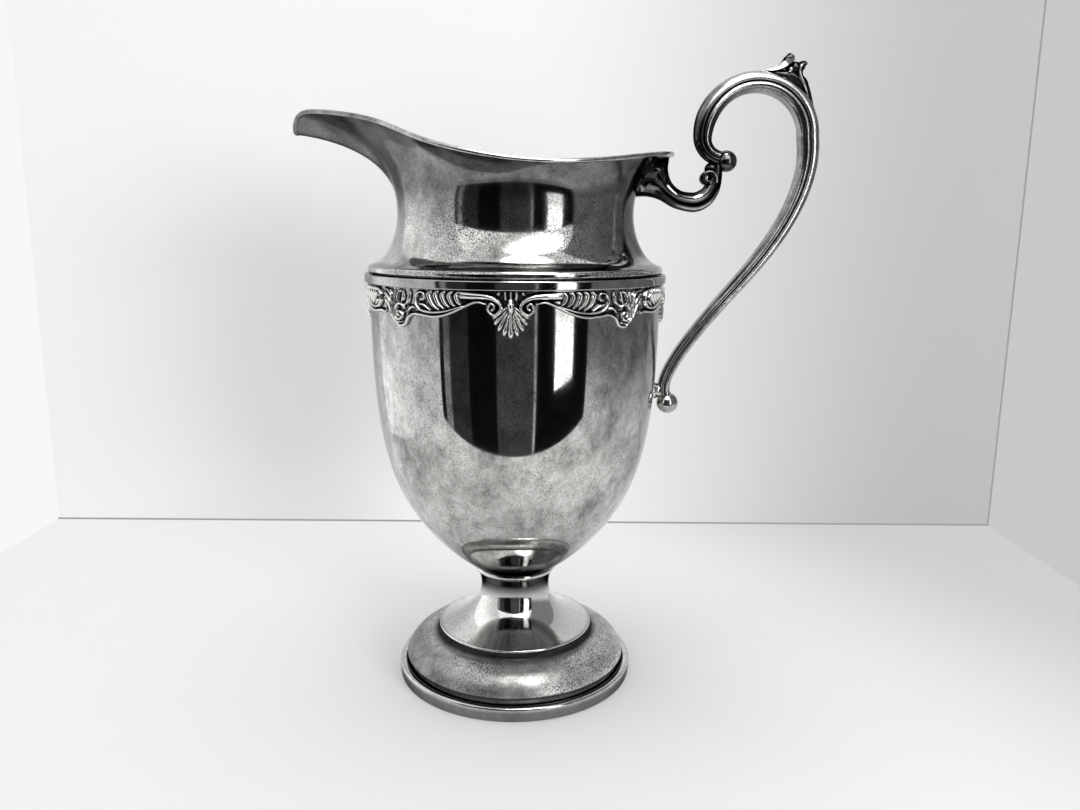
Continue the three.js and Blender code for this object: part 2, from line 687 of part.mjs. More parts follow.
// Forked leaf: an outline on the handle's back, with two flanges and two tips, bevelled
function thumbLeaf(line) {
  const back = LOOP_RADIUS + HANDLE_UPPER_THICKNESS / 2;
  const sunk = back - HANDLE_UPPER_THICKNESS / 4;
  const at = (degrees, radius) => arc(loopCentre, radius, degrees * DEGREE, degrees * DEGREE, 1)[0];
  const first = LEAF_OUTLINE[0][0];
  const last = LEAF_OUTLINE.at(-1)[0];
  const outline = new THREE.Shape([
    at(first, sunk),
    ...LEAF_OUTLINE.map(([degrees, cover, height]) => (
      at(degrees, back + cover * LEAF_COVER + height * LEAF_HEIGHT)
    )),
    at(last, sunk),
    at((first + last) / 2, sunk),
  ]);
  const leaf = new THREE.ExtrudeGeometry(outline, {
    depth: LEAF_WIDTH - 2 * LEAF_BEVEL,
    bevelSize: LEAF_BEVEL,
    bevelThickness: LEAF_BEVEL,
    bevelOffset: -LEAF_BEVEL,
    bevelSegments: 1,
  });
  leaf.translate(0, 0, LEAF_BEVEL - LEAF_WIDTH / 2).rotateX(Math.PI / 2);
  return cut(closedBody(leaf), bar(line, SEAM));
}

// The pitcher, stood with the middle of its box over the origin
const sheetLook = { color: 0xa9a9a6, roughness: 0.25, metalness: 1 };
const castLook = { color: 0x8f8f8c, roughness: 0.35, metalness: 1 };
const pitcher = new THREE.Group();

function place(name, geometry, look) {
  const mesh = new THREE.Mesh(geometry, new THREE.MeshStandardMaterial(look));
  mesh.name = name;
  pitcher.add(mesh);
}

const middleLine = handleLine();
place('foot_band', footBand(), sheetLook);
place('foot_dome', footDome(), sheetLook);
place('pedestal', pedestal(), sheetLook);
place('stem_collar', stemCollar(), sheetLook);
place('bowl', bowl(), sheetLook);
place('shoulder_band', shoulderBand(), sheetLook);
place('neck', neck(), sheetLook);
place('rim_wire', rimWire(), sheetLook);
for (let i = 0; i < SHELL_COUNT; i += 1) {
  const middle = (2 * i + 1) * halfTurn + Math.PI / 2 - halfTurn;
  place(`border_casting_${i + 1}`, borderCasting(middle), castLook);
}
place('handle_scroll', bar(middleLine), castLook);
place('scroll_ball', endBall(middleLine, SCROLL_BALL_RADIUS), castLook);
place('handle_foot_ball', endBall(middleLine.toReversed(), FOOT_BALL_RADIUS), castLook);
place('handle_foot_pad', handleFootPad(middleLine), castLook);
place('handle_bracket', handleBracket(middleLine), castLook);
place('thumb_leaf', thumbLeaf(middleLine), castLook);

const reach = new THREE.Box3().setFromObject(pitcher);
pitcher.position.x = -(reach.min.x + reach.max.x) / 2;

export default pitcher;
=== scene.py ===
"""Dressed pieces of a footed silver-plated water pitcher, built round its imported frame, and the stage."""
import math
from functools import cache, partial

import bmesh
import bpy
import numpy as np
from bpy.props import FloatProperty, FloatVectorProperty, IntProperty, PointerProperty
from mathutils import Matrix, Vector


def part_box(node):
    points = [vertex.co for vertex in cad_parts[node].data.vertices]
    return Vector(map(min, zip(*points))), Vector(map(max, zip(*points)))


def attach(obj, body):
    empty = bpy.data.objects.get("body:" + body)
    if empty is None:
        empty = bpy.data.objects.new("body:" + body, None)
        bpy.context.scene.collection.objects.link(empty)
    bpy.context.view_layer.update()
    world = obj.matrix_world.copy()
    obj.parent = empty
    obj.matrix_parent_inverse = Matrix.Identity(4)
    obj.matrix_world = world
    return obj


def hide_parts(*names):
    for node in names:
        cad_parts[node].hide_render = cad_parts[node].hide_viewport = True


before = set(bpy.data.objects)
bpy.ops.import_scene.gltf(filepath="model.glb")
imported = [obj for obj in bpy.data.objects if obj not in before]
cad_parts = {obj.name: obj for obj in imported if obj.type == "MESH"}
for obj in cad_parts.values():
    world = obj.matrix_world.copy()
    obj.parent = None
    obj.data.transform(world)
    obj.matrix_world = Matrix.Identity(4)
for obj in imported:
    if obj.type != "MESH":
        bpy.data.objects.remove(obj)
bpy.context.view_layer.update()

bl_info = {
    "name": "Silver-plated water pitcher",
    "version": (1, 0, 0),
    "blender": (4, 5, 0),
    "location": "View3D > Sidebar > Pitcher",
    "description": "Builds a footed pitcher with a cast border and scroll handle, and its white tent",
    "category": "Object",
}

MM = 0.001
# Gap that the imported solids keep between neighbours, which the dressed pieces close.
SEAM = 0.3 * MM
# Points closer than this are welded into one.
WELD = 0.002 * MM
# Black that a crevice or a groove keeps, where 1 is the full black of the patina.
CREVICE = 0.95
GROOVE = 0.9
# Height of the thumb leaf as its lobes are drawn.
LEAF_HEIGHT = 8.3 * MM


@cache
def box_of(node):
    """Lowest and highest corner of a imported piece, read once."""
    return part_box(node)


def half_width(node):
    """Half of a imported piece's extent along X."""
    low, high = box_of(node)
    return (high.x - low.x) / 2


def base_of(node):
    """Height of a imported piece's lowest point."""
    return box_of(node)[0].z


def top_of(node):
    """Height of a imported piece's highest point."""
    return box_of(node)[1].z


def axis_x():
    """Where the upright axis of the bowl stands in the frame."""
    low, high = box_of("bowl")
    return (low.x + high.x) / 2


def linear(hex_colour):
    """Turns an sRGB hex colour into linear red, green, blue and alpha."""
    channels = [int(hex_colour[at:at + 2], 16) / 255 for at in (1, 3, 5)]
    return tuple(c / 12.92 if c <= 0.04045 else ((c + 0.055) / 1.055) ** 2.4 for c in channels) + (1.0,)


def length(label, words, value):
    """A length in metres that the user may change."""
    return FloatProperty(name=label, description=words, default=value, min=0.0, unit="LENGTH", precision=5)


def colour(label, words, hex_colour):
    """A colour that the user may change."""
    return FloatVectorProperty(name=label, description=words, default=linear(hex_colour), size=4,
                               min=0.0, max=1.0, subtype="COLOR")


class PitcherBody(bpy.types.PropertyGroup):
    """Sizes of the spun sheet pieces."""
    sheet: length("Sheet", "Thickness of the spun sheet", 1.0 * MM)
    foot_radius: length("Foot radius", "Outer radius of the foot band", half_width("foot_band"))
    dome_radius: length("Dome radius", "Outer radius of the foot dome", half_width("foot_dome"))
    step_radius: length("Step radius", "Outer radius of the pedestal's rolled lip", half_width("pedestal"))
    stem_radius: length("Stem radius", "Radius of the narrowest part of the stem", 14.5 * MM)
    bowl_radius: length("Bowl radius", "Outer radius of the bowl at its mouth", half_width("bowl"))
    waist_radius: length("Waist radius", "Outer radius of the neck's waist", 46.8 * MM)
    mouth_radius: length("Mouth radius", "Radius of the lip at the sides of the mouth", 53.0 * MM)
    spout_reach: length("Spout reach", "Distance from the axis to the spout's tip", 85.2 * MM)
    wire_diameter: length("Rim wire", "Diameter of the wire along the lip", 1.7 * MM)
    facets: IntProperty(name="Facets", description="Faces round a turned piece", default=192,
                        min=24, max=512)


class PitcherBorder(bpy.types.PropertyGroup):
    """Sizes of the cast border mounts."""
    relief: FloatProperty(name="Relief", description="Height of the border's forms, 1 is as drawn",
                          default=1.25, min=0.2, max=1.5, subtype="FACTOR")
    ground: length("Ground", "Thickness of the border's sunk ground", 0.3 * MM)
    ribs: IntProperty(name="Comb ribs", description="Ribs in each leaf comb", default=5, min=3, max=9)


class PitcherHandle(bpy.types.PropertyGroup):
    """Sizes of the cast handle."""
    loop_radius: length("Loop radius", "Radius of the handle's upper loop", 20.8 * MM)
    upper_thickness: length("Upper thickness", "Thickness of the bar at the loop", 8.2 * MM)
    upper_width: length("Upper width", "Width of the bar at the loop", 9.4 * MM)
    lower_thickness: length("Lower thickness", "Thickness of the bar at its lower end", 5.0 * MM)
    lower_width: length("Lower width", "Width of the bar at its lower end", 6.4 * MM)
    scroll_ball: length("Scroll ball", "Radius of the ball on the curl", 4.2 * MM)
    foot_ball: length("Foot ball", "Radius of the ball on the lower end", 4.4 * MM)
    leaf_height: length("Leaf height", "How far the thumb leaf stands off the bar", LEAF_HEIGHT)


class PitcherFinish(bpy.types.PropertyGroup):
    """Colours of the plate at its cleanest and dullest."""
    clean: colour("Clean plate", "Silver plate where it is rubbed clean", "#e6e5e3")
    film: colour("Thin film", "Silver plate under a thin grey film", "#b4b3b1")
    dull: colour("Dull plate", "Silver plate under a heavy film of tarnish", "#858482")
    deep: colour("Deep tarnish", "Silver plate gone dark with tarnish", "#343332")
    patina: colour("Patina", "Black sulphide left in the hollows", "#0d0d0d")


class PitcherStage(bpy.types.PropertyGroup):
    """The white tent round the pitcher, and its camera."""
    half_span: length("Half width", "Distance from the pitcher's axis to a side wall", 303.0 * MM)
    back: length("Back", "Distance from the axis to the back wall", 190.0 * MM)
    front: length("Front", "Distance from the axis to the open front", 222.0 * MM)
    height: length("Height", "Height of the tent", 620.0 * MM)
    white: colour("Walls", "Cloth of the tent", "#fbfbfb")
    floor: colour("Floor", "Sheet under the pitcher", "#f3f3f3")
    shade: colour("Floor shade", "Sheet in the far corner by the right wall", "#d0d0d0")
    dark: colour("Dark sheet", "Sheet in front of the open side, which the metal mirrors", "#141414")


def add_node(tree, kind, sockets=None, out=0, **settings):
    """Adds a node, sets or links its inputs, and returns one of its outputs, or all where out is None."""
    node = tree.nodes.new(kind)
    for key, value in settings.items():
        setattr(node, key, value)
    for key, value in (sockets or {}).items():
        if isinstance(value, bpy.types.NodeSocket):
            tree.links.new(value, node.inputs[key])
        else:
            node.inputs[key].default_value = value
    return node.outputs if out is None else node.outputs[out]


def mix(start, end, share):
    """Straight blend of two values."""
    return start + (end - start) * share


def ramp(value, start, end):
    """Smooth step from 0 at start to 1 at end."""
    share = np.clip((np.asarray(value, float) - start) / (end - start), 0, 1)
    return share * share * (3 - 2 * share)


def between(start, end, shares):
    """Points given as shares of the way from one corner to the other."""
    return [(mix(start[0], end[0], a), mix(start[1], end[1], b)) for a, b in shares]


def cubic(start, first, second, end, steps):
    """Points along a Bezier curve."""
    s = np.linspace(0, 1, steps + 1)[:, None]
    a, b, c, d = (np.array(p, float) for p in (start, first, second, end))
    return a * (1 - s) ** 3 + 3 * b * s * (1 - s) ** 2 + 3 * c * s * s * (1 - s) + d * s ** 3


def arc(centre, radius, start, end, steps):
    """Points along an arc, with its angles in degrees."""
    a = np.radians(np.linspace(start, end, steps + 1))
    return np.stack([centre[0] + radius * np.cos(a), centre[1] + radius * np.sin(a)], 1)


def outward(path):
    """Direction to the left of a path at each of its points."""
    way = np.gradient(path, axis=0)
    way /= np.linalg.norm(way, axis=1)[:, None]
    return np.stack([-way[:, 1], way[:, 0]], 1)


def offset(path, distance):
    """Moves each point of a path to the left of its direction."""
    return path + distance * outward(path)


def rounded(corners, closed=False, steps=5):
    """Line through corners (r, z, rounding), each corner softened by its own rounding."""
    places = [np.array(c[:2], float) for c in corners]
    line = []
    for i, here in enumerate(places):
        soft = corners[i][2]
        if soft == 0:
            line.append(here)
            continue
        before = places[i - 1] - here
        after = places[(i + 1) % len(places)] - here
        start = here + before / np.linalg.norm(before) * soft
        end = here + after / np.linalg.norm(after) * soft
        for s in np.linspace(0, 1, steps + 1):
            line.append(start * (1 - s) ** 2 + 2 * here * s * (1 - s) + end * s * s)
    return np.array(line + line[:1] if closed else line)


def through(points, steps):
    """Smooth curve through points of any number of columns."""
    p = np.array(points, float)
    p = np.vstack([2 * p[0] - p[1], p, 2 * p[-1] - p[-2]])
    s = np.arange(steps)[:, None] / steps
    line = []
    for a, b, c, d in zip(p, p[1:], p[2:], p[3:]):
        line.append(0.5 * (2 * b + (c - a) * s + (2 * a - 5 * b + 4 * c - d) * s ** 2
                           + (3 * b - a - 3 * c + d) * s ** 3))
    return np.vstack(line + [p[-2:-1]])


def new_mesh(name, points, edges, faces, **values):
    """Mesh with named values, numbers or vectors, on its points."""
    mesh = bpy.data.meshes.new(name)
    mesh.from_pydata(np.asarray(points, float).tolist(), edges, faces)
    for key, value in values.items():
        value = np.asarray(value, np.float32)
        kind, field = ("FLOAT_VECTOR", "vector") if value.ndim == 2 else ("FLOAT", "value")
        mesh.attributes.new(key, kind, "POINT").data.foreach_set(field, value.ravel())
    return mesh


def line_mesh(name, points, closed=False, **values):
    """Mesh of one line of points."""
    count = len(points)
    edges = [(i, i + 1) for i in range(count - 1)] + ([(count - 1, 0)] if closed else [])
    return new_mesh(name, points, edges, [], **values)


def new_object(name, data):
    """Object of a mesh, a lamp or a camera in the scene."""
    obj = bpy.data.objects.new(name, data)
    bpy.context.scene.collection.objects.link(obj)
    return obj


def grid_object(name, points, faces, finish, **values):
    """Object of a mesh that was worked out point by point."""
    mesh = new_mesh(name, points, [], faces, **values)
    mesh.materials.append(finish)
    return new_object(name, mesh)


def skin(rows, columns, round_columns=False):
    """Faces of a grid of points kept row by row."""
    faces = []
    for row in range(0, (rows - 1) * columns, columns):
        for c in range(columns if round_columns else columns - 1):
            d = (c + 1) % columns
            faces.append((row + c, row + d, row + columns + d, row + columns + c))
    return faces


def new_tree(name, first, sockets):
    """Geometry tree with its named inputs, and the function that adds a node to it."""
    tree = bpy.data.node_groups.new(name, "GeometryNodeTree")
    tree.interface.new_socket("Geometry", in_out="OUTPUT", socket_type="NodeSocketGeometry")
    for label, kind in {first: "Geometry", **sockets}.items():
        tree.interface.new_socket(label, in_out="INPUT", socket_type="NodeSocket" + kind)
    add = partial(add_node, tree)
    return tree, add, add("NodeGroupInput", out=None)


def close_tree(tree, add, geometry, finish):
    """Ends a tree in real geometry with its material."""
    real = add("GeometryNodeRealizeInstances", {"Geometry": geometry})
    dressed = add("GeometryNodeSetMaterial", {"Geometry": real, "Material": finish})
    add("NodeGroupOutput", {"Geometry": dressed}, out=None)
    return tree


def sampled(add, source, name, kind, index):
    """Value that the source's point of that index carries, its position where no name is given."""
    if name:
        value = add("GeometryNodeInputNamedAttribute", {"Name": name}, data_type=kind)
    else:
        value = add("GeometryNodeInputPosition")
    return add("GeometryNodeSampleIndex", {"Geometry": source, "Value": value, "Index": index},
               data_type=kind, domain="POINT", clamp=True)


def step_of(add, place, steps):
    """Whole step that a place from -0.5 to 0.5 stands for."""
    moved = add("ShaderNodeMath", {0: place, 1: 0.5}, operation="ADD")
    spread = add("ShaderNodeMath", {0: moved, 1: steps}, operation="MULTIPLY")
    return add("FunctionNodeFloatToInt", {0: spread}, rounding_mode="ROUND")


def unit_grid(add, columns, rows):
    """Flat grid one metre wide and long, and the place of each of its points."""
    grid = add("GeometryNodeMeshGrid",
               {"Size X": 1.0, "Size Y": 1.0, "Vertices X": columns, "Vertices Y": rows})
    place = add("ShaderNodeSeparateXYZ", {0: add("GeometryNodeInputPosition")}, out=None)
    return grid, place


def shaped(tree, add, grid, spot, hollow, finish):
    """Moves every point of a grid to its spot with the black that it keeps, and welds the seams."""
    kept = add("GeometryNodeStoreNamedAttribute", {"Geometry": grid, "Name": "recess", "Value": hollow},
               data_type="FLOAT", domain="POINT")
    placed = add("GeometryNodeSetPosition", {"Geometry": kept, "Position": spot})
    welded = add("GeometryNodeMergeByDistance", {"Geometry": placed, "Distance": WELD})
    return close_tree(tree, add, welded, finish)


@cache
def turned_tree():
    """A profile drawn at Y = 0 is swung round the Z axis, as on a spinning lathe."""
    tree, add, given = new_tree("Turned from a profile", "Profile", {"Facets": "Int", "Finish": "Material"})
    profile = given["Profile"]
    count = add("GeometryNodeAttributeDomainSize", {"Geometry": profile}, component="MESH")
    columns = add("ShaderNodeMath", {0: given["Facets"], 1: 1.0}, operation="ADD")
    grid, place = unit_grid(add, columns, count)
    last = add("ShaderNodeMath", {0: count, 1: 1.0}, operation="SUBTRACT")
    row = step_of(add, place["Y"], last)
    angle = add("ShaderNodeMath", {0: place["X"], 1: 2 * math.pi}, operation="MULTIPLY")
    point = sampled(add, profile, "", "FLOAT_VECTOR", row)
    swung = add("ShaderNodeVectorRotate", {"Vector": point, "Angle": angle}, rotation_type="Z_AXIS")
    hollow = sampled(add, profile, "recess", "FLOAT", row)
    return shaped(tree, add, grid, swung, hollow, given["Finish"])


@cache
def swept_tree():
    """A section is carried along a path that keeps its own thickness, width and outward direction."""
    tree, add, given = new_tree("Bar along a path", "Path", {"Section": "Object", "Finish": "Material"})
    path = given["Path"]
    section = add("GeometryNodeObjectInfo", {"Object": given["Section"]}, out="Geometry")
    rows = add("GeometryNodeAttributeDomainSize", {"Geometry": path}, component="MESH")
    around = add("GeometryNodeAttributeDomainSize", {"Geometry": section}, component="MESH")
    closed = add("ShaderNodeMath", {0: around, 1: 1.0}, operation="ADD")
    grid, place = unit_grid(add, rows, closed)
    last = add("ShaderNodeMath", {0: rows, 1: 1.0}, operation="SUBTRACT")
    row = step_of(add, place["X"], last)
    lap = step_of(add, place["Y"], around)
    column = add("ShaderNodeMath", {0: lap, 1: around}, operation="MODULO")
    corner = sampled(add, section, "", "FLOAT_VECTOR", column)
    share = add("ShaderNodeSeparateXYZ", {0: corner}, out=None)
    thickness = sampled(add, path, "thickness", "FLOAT", row)
    width = sampled(add, path, "width", "FLOAT", row)
    thick = add("ShaderNodeMath", {0: share["X"], 1: thickness}, operation="MULTIPLY")
    wide = add("ShaderNodeMath", {0: share["Y"], 1: width}, operation="MULTIPLY")
    across = sampled(add, path, "across", "FLOAT_VECTOR", row)
    off = add("ShaderNodeVectorMath", {0: across, "Scale": thick}, operation="SCALE")
    side = add("ShaderNodeCombineXYZ", {"Y": wide})
    reach = add("ShaderNodeVectorMath", {0: off, 1: side}, operation="ADD")
    middle = sampled(add, path, "", "FLOAT_VECTOR", row)
    spot = add("ShaderNodeVectorMath", {0: middle, 1: reach}, operation="ADD")
    # A film above 0 lies on all points but those marked below 0, and a film below 0 on those alone; on the
    # handle and the leaf this film is painted dark reflection.
    own = sampled(add, section, "recess", "FLOAT", column)
    film = sampled(add, path, "film", "FLOAT", row)
    held = add("ShaderNodeMath", {0: own, 1: 1.0}, operation="ADD")
    laid = add("ShaderNodeMath", {0: film, 1: held}, operation="MINIMUM")
    most = add("ShaderNodeMath", {0: own, 1: laid}, operation="MAXIMUM")
    hollow = add("ShaderNodeMath", {0: most}, operation="ABSOLUTE")
    return shaped(tree, add, grid, spot, hollow, given["Finish"])


@cache
def wire_tree():
    """Round wire along a closed line that keeps its own gauge."""
    tree, add, given = new_tree("Wire along the lip", "Lip", {"Facets": "Int", "Finish": "Material"})
    line = add("GeometryNodeMeshToCurve", {"Mesh": given["Lip"]})
    circle = add("GeometryNodeCurvePrimitiveCircle", {"Resolution": given["Facets"], "Radius": 1.0})
    gauge = add("GeometryNodeInputNamedAttribute", {"Name": "gauge"}, data_type="FLOAT")
    wire = add("GeometryNodeCurveToMesh", {"Curve": line, "Profile Curve": circle, "Scale": gauge})
    return close_tree(tree, add, wire, given["Finish"])


@cache
def mount_tree():
    """One cast mount is turned to its place round the bowl."""
    tree, add, given = new_tree("Mount round the bowl", "Mount", {"Turn": "Float", "Finish": "Material"})
    turn = add("ShaderNodeCombineXYZ", {"Z": given["Turn"]})
    placed = add("GeometryNodeTransform", {"Geometry": given["Mount"], "Rotation": turn})
    return close_tree(tree, add, placed, given["Finish"])


def grow(name, mesh, tree, **values):
    """Runs a geometry tree on a mesh and keeps the result as a plain mesh."""
    obj = new_object(name, mesh)
    modifier = obj.modifiers.new("Shape", "NODES")
    modifier.node_group = tree
    for item in tree.interface.items_tree:
        if item.in_out == "INPUT" and item.name in values:
            modifier[item.identifier] = values[item.name]
    seen = obj.evaluated_get(bpy.context.evaluated_depsgraph_get())
    made = bpy.data.meshes.new_from_object(seen)
    obj.modifiers.remove(modifier)
    obj.data = made
    bpy.data.meshes.remove(mesh)
    if not made.polygons:
        raise RuntimeError(name + " came out empty")
    return obj


def tidy_mesh(obj, crease=35.0, cap=False):
    """Welds a piece, closes open ends, turns its faces outwards and shades it."""
    work = bmesh.new()
    work.from_mesh(obj.data)
    bmesh.ops.remove_doubles(work, verts=work.verts, dist=WELD)
    if cap:
        bmesh.ops.holes_fill(work, edges=[e for e in work.edges if e.is_boundary])
    bmesh.ops.recalc_face_normals(work, faces=work.faces)
    if any(not e.is_manifold for e in work.edges):
        raise RuntimeError(obj.name + " is not closed")
    work.to_mesh(obj.data)
    work.free()
    obj.data.shade_smooth()
    obj.data.set_sharp_from_angle(angle=math.radians(crease))
    return obj


def settle(obj, slot, *nodes):
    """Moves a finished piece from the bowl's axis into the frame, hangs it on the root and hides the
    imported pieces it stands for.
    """
    obj.data.transform(Matrix.Translation((axis_x(), 0, 0)))
    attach(obj, "root")
    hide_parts(*nodes)


def join_into(first, others):
    """Puts the meshes of several objects into the first one."""
    work = bmesh.new()
    for obj in [first] + others:
        work.from_mesh(obj.data)
    work.to_mesh(first.data)
    work.free()
    for obj in others:
        mesh = obj.data
        bpy.data.objects.remove(obj)
        bpy.data.meshes.remove(mesh)
    return first


def turned(name, profile, finish, facets, recess=None):
    """Closed turned piece from points (r, z)."""
    profile = np.asarray(profile, float)
    points = np.stack([profile[:, 0], np.zeros(len(profile)), profile[:, 1]], 1)
    hollow = np.zeros(len(profile)) if recess is None else recess
    mesh = line_mesh(name + "_profile", points, recess=hollow)
    return tidy_mesh(grow(name, mesh, turned_tree(), Facets=facets, Finish=finish))


def spin(body, node, line, metal, dark):
    """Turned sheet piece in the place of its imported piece."""
    settle(turned("plated_" + node, line, metal, body.facets, dark), "plated_sheet", node)


def swept(name, path, across, thickness, width, section, hollow, finish, film=None):
    """Closed bar along a path (x, z) with outward directions, its section given in shares of both sizes."""
    flat = np.zeros(len(path))
    film = flat if film is None else film
    mesh = line_mesh(name + "_path", np.stack([path[:, 0], flat, path[:, 1]], 1),
                     across=np.stack([across[:, 0], flat, across[:, 1]], 1),
                     thickness=thickness, width=width, film=film)
    ring = line_mesh(name + "_section", [(u, w, 0.0) for u, w in section], closed=True, recess=hollow)
    holder = new_object(name + "_section", ring)
    made = grow(name, mesh, swept_tree(), Section=holder, Finish=finish)
    bpy.data.objects.remove(holder)
    bpy.data.meshes.remove(ring)
    return tidy_mesh(made, cap=True)


def blank_material(name):
    """Material without nodes, and the function that adds a node to it."""
    material = bpy.data.materials.new(name)
    material.use_nodes = True
    material.node_tree.nodes.clear()
    return material, partial(add_node, material.node_tree)


# Finish of each piece: two shades that its clouds change between, size of a cloud and of a speck in mm,
# strength of the dark and of the bright specks, and roughness of the first and of the second shade.
PLATES = {
    # Salt and pepper of pits on the foot, where the plate is worn.
    "spun_silver_plate_foot": ("dull", "clean", 8, 0.6, 0.95, 1.0, 0.34, 0.26),
    "rolled_silver_plate_band": ("film", "clean", 9, 0.5, 0.3, 0.3, 0.2, 0.12),
    "spun_silver_plate_pedestal": ("clean", "clean", 8, 0.6, 0.5, 0.6, 0.12, 0.06),
    # Smeared clouds from years of wiping on the bowl, with a light haze of pits.
    "spun_silver_plate_bowl": ("dull", "clean", 6, 0.6, 0.35, 0.5, 0.08, 0.035),
    "rolled_silver_plate_shoulder": ("film", "clean", 8, 0.5, 0.3, 0.3, 0.1, 0.05),
    # More pits on the neck than on the bowl.
    "drawn_silver_plate_neck": ("dull", "clean", 9, 0.5, 0.9, 0.9, 0.12, 0.06),
    "silver_wire": ("dull", "clean", 6, 0.5, 0.3, 0.3, 0.2, 0.1),
    # Cast mounts whose raised forms are rubbed bright, with black between them.
    "cast_silver_plate_border": ("clean", "clean", 5, 0.4, 0.15, 0.3, 0.16, 0.08),
    # Cast and buffed bar, bright from the hand, with fine nicks.
    "cast_silver_plate_handle": ("dull", "clean", 6, 0.5, 0.7, 0.6, 0.14, 0.08),
    # Painted dark reflection: the scroll ball gets a darker plate than the foot ball.
    "cast_silver_plate_scroll_ball": ("deep", "dull", 7, 0.4, 0.3, 0.1, 0.1, 0.05),
    "cast_silver_plate_ball": ("dull", "clean", 7, 0.4, 0.4, 0.3, 0.08, 0.04),
    "cast_silver_plate_bracket": ("dull", "clean", 8, 0.5, 0.3, 0.3, 0.1, 0.05),
    "cast_silver_plate_leaf": ("film", "clean", 4, 0.4, 0.4, 0.4, 0.14, 0.08),
}


# Silver plate over brass, spun or cast and buffed, then left to tarnish. The buffed silver mirrors what
# stands round it; a grey film in clouds dulls the mirror without hiding it, fine pits and hard
# specks of sulphide pepper it, and black stays in every hollow that a cloth does not reach.
def silver_plate(name, finish, stretch=1.0, dent=0.0, bare_metal=1.0):
    """Plate as its row of PLATES says, with clouds drawn out upwards and specks that may dent it."""
    first, second, cloud, speck, dark, bright, rough_first, rough_second = PLATES[name]
    material, add = blank_material(name)
    spot = add("ShaderNodeTexCoord", out="Object")
    drawn = add("ShaderNodeMapping", {"Vector": spot, "Scale": (1.0, 1.0, stretch)})
    broad = add("ShaderNodeTexNoise",
                {"Vector": drawn, "Scale": 0.35 / (cloud * MM), "Detail": 2.0, "Roughness": 0.5})
    patch = add("ShaderNodeTexNoise", {"Vector": drawn, "Scale": 1 / (cloud * MM), "Detail": 8.0,
                                       "Roughness": 0.78, "Distortion": 0.15})
    both = add("ShaderNodeMath", {0: broad, 1: 0.5, 2: patch}, operation="MULTIPLY_ADD")
    film = add("ShaderNodeMapRange", {"Value": both, "From Min": 0.57, "From Max": 0.93})
    shades = {0: film, 6: getattr(finish, first), 7: getattr(finish, second)}
    plate = add("ShaderNodeMix", shades, out=2, data_type="RGBA")
    # The value read here holds the patina's black in the hollows and, on some pieces, painted shade and
    # painted dark reflection.
    hollow = add("ShaderNodeAttribute", out="Fac", attribute_name="recess")
    # Specks gather in the broad clouds and stay off the hollows.
    gather = add("ShaderNodeMapRange",
                 {"Value": broad, "From Min": 0.40, "From Max": 0.62, "To Min": 0.25, "To Max": 1.0})
    bare = add("ShaderNodeMath", {0: 1.0, 1: hollow}, operation="SUBTRACT")
    much = add("ShaderNodeMath", {0: gather, 1: bare}, operation="MULTIPLY")
    pits = add("ShaderNodeTexNoise",
               {"Vector": spot, "Scale": 1 / (speck * MM), "Detail": 1.0, "Roughness": 0.6})
    dots = add("ShaderNodeMapRange",
               {"Value": pits, "From Min": 0.38, "From Max": 0.49, "To Min": dark, "To Max": 0.0})
    glints = add("ShaderNodeMapRange",
                 {"Value": pits, "From Min": 0.54, "From Max": 0.66, "To Min": 0.0, "To Max": bright})
    pepper = add("ShaderNodeMath", {0: dots, 1: much}, operation="MULTIPLY")
    salt = add("ShaderNodeMath", {0: glints, 1: much}, operation="MULTIPLY")
    tone = plate
    for share, shade in ((salt, finish.clean), (pepper, finish.deep), (hollow, finish.patina)):
        tone = add("ShaderNodeMix", {0: share, 6: tone, 7: shade}, out=2, data_type="RGBA")
    clear = add("ShaderNodeMapRange", {"Value": film, "To Min": rough_first, "To Max": rough_second})
    rough = add("ShaderNodeMath", {0: hollow, 1: 0.05, 2: clear}, operation="MULTIPLY_ADD")
    sheen = add("ShaderNodeMix", {0: hollow, 6: (1, 1, 1, 1), 7: (0, 0, 0, 1)}, out=2, data_type="RGBA")
    surface = {"Base Color": tone, "Metallic": bare_metal, "Roughness": rough, "Specular Tint": sheen}
    if dent:
        surface["Normal"] = add("ShaderNodeBump", {"Strength": 1.0, "Distance": -dent, "Height": pepper})
    add("ShaderNodeOutputMaterial", {"Surface": add("ShaderNodeBsdfPrincipled", surface)}, out=None)
    return material


# Steps along the bowl's wall, and along it where other pieces are fitted to it.
BOWL_STEPS = 72
WALL_STEPS = 200


def bowl_side(body, steps):
    """Outer line of the bowl from its flat underside to its mouth."""
    base = base_of("bowl")
    tall = top_of("bowl") - base
    foot = half_width("stem_collar")
    r = body.bowl_radius
    return cubic((foot, base), (r * 0.972, base + tall * 0.229), (r * 0.991, base + tall * 0.473),
                 (r, base + tall), steps)


# Radius and overhang of the neck's foot moulding, and height of the waist over the neck's base.
NECK_MOULDING_ROUND = 1.75 * MM
NECK_MOULDING_OVERHANG = 0.6 * MM
NECK_WAIST_HEIGHT = 24.0 * MM
# Lip above the neck's base at its sides, how far it rises to the spout and to the rear, and flares there.
SIDE_HEIGHT = 38.0 * MM
SPOUT_RISE = 22.2 * MM
REAR_RISE = 7.6 * MM
REAR_FLARE = 7.4 * MM
# Hollow down the middle of the spout's tip, and the swell of the cheeks beside the spout.
TIP_DIP = 7.2 * MM
CHEEK_SWELL = 3.0 * MM
# Turns from the spout in degrees: spread of the spout and of its hollow, middle and spread of a cheek,
# where the lip and where the neck under it pass over into the turned flare, and the lip's two powers.
SPOUT_SPREAD = 24
DIP_SPREAD = 6.5
CHEEK_TURN = 55
CHEEK_SPREAD = 22
LIP_PASSAGE = (62, 95)
NECK_PASSAGE = (40, 64)
SPOUT_POWER = 7.5
REAR_POWER = 10
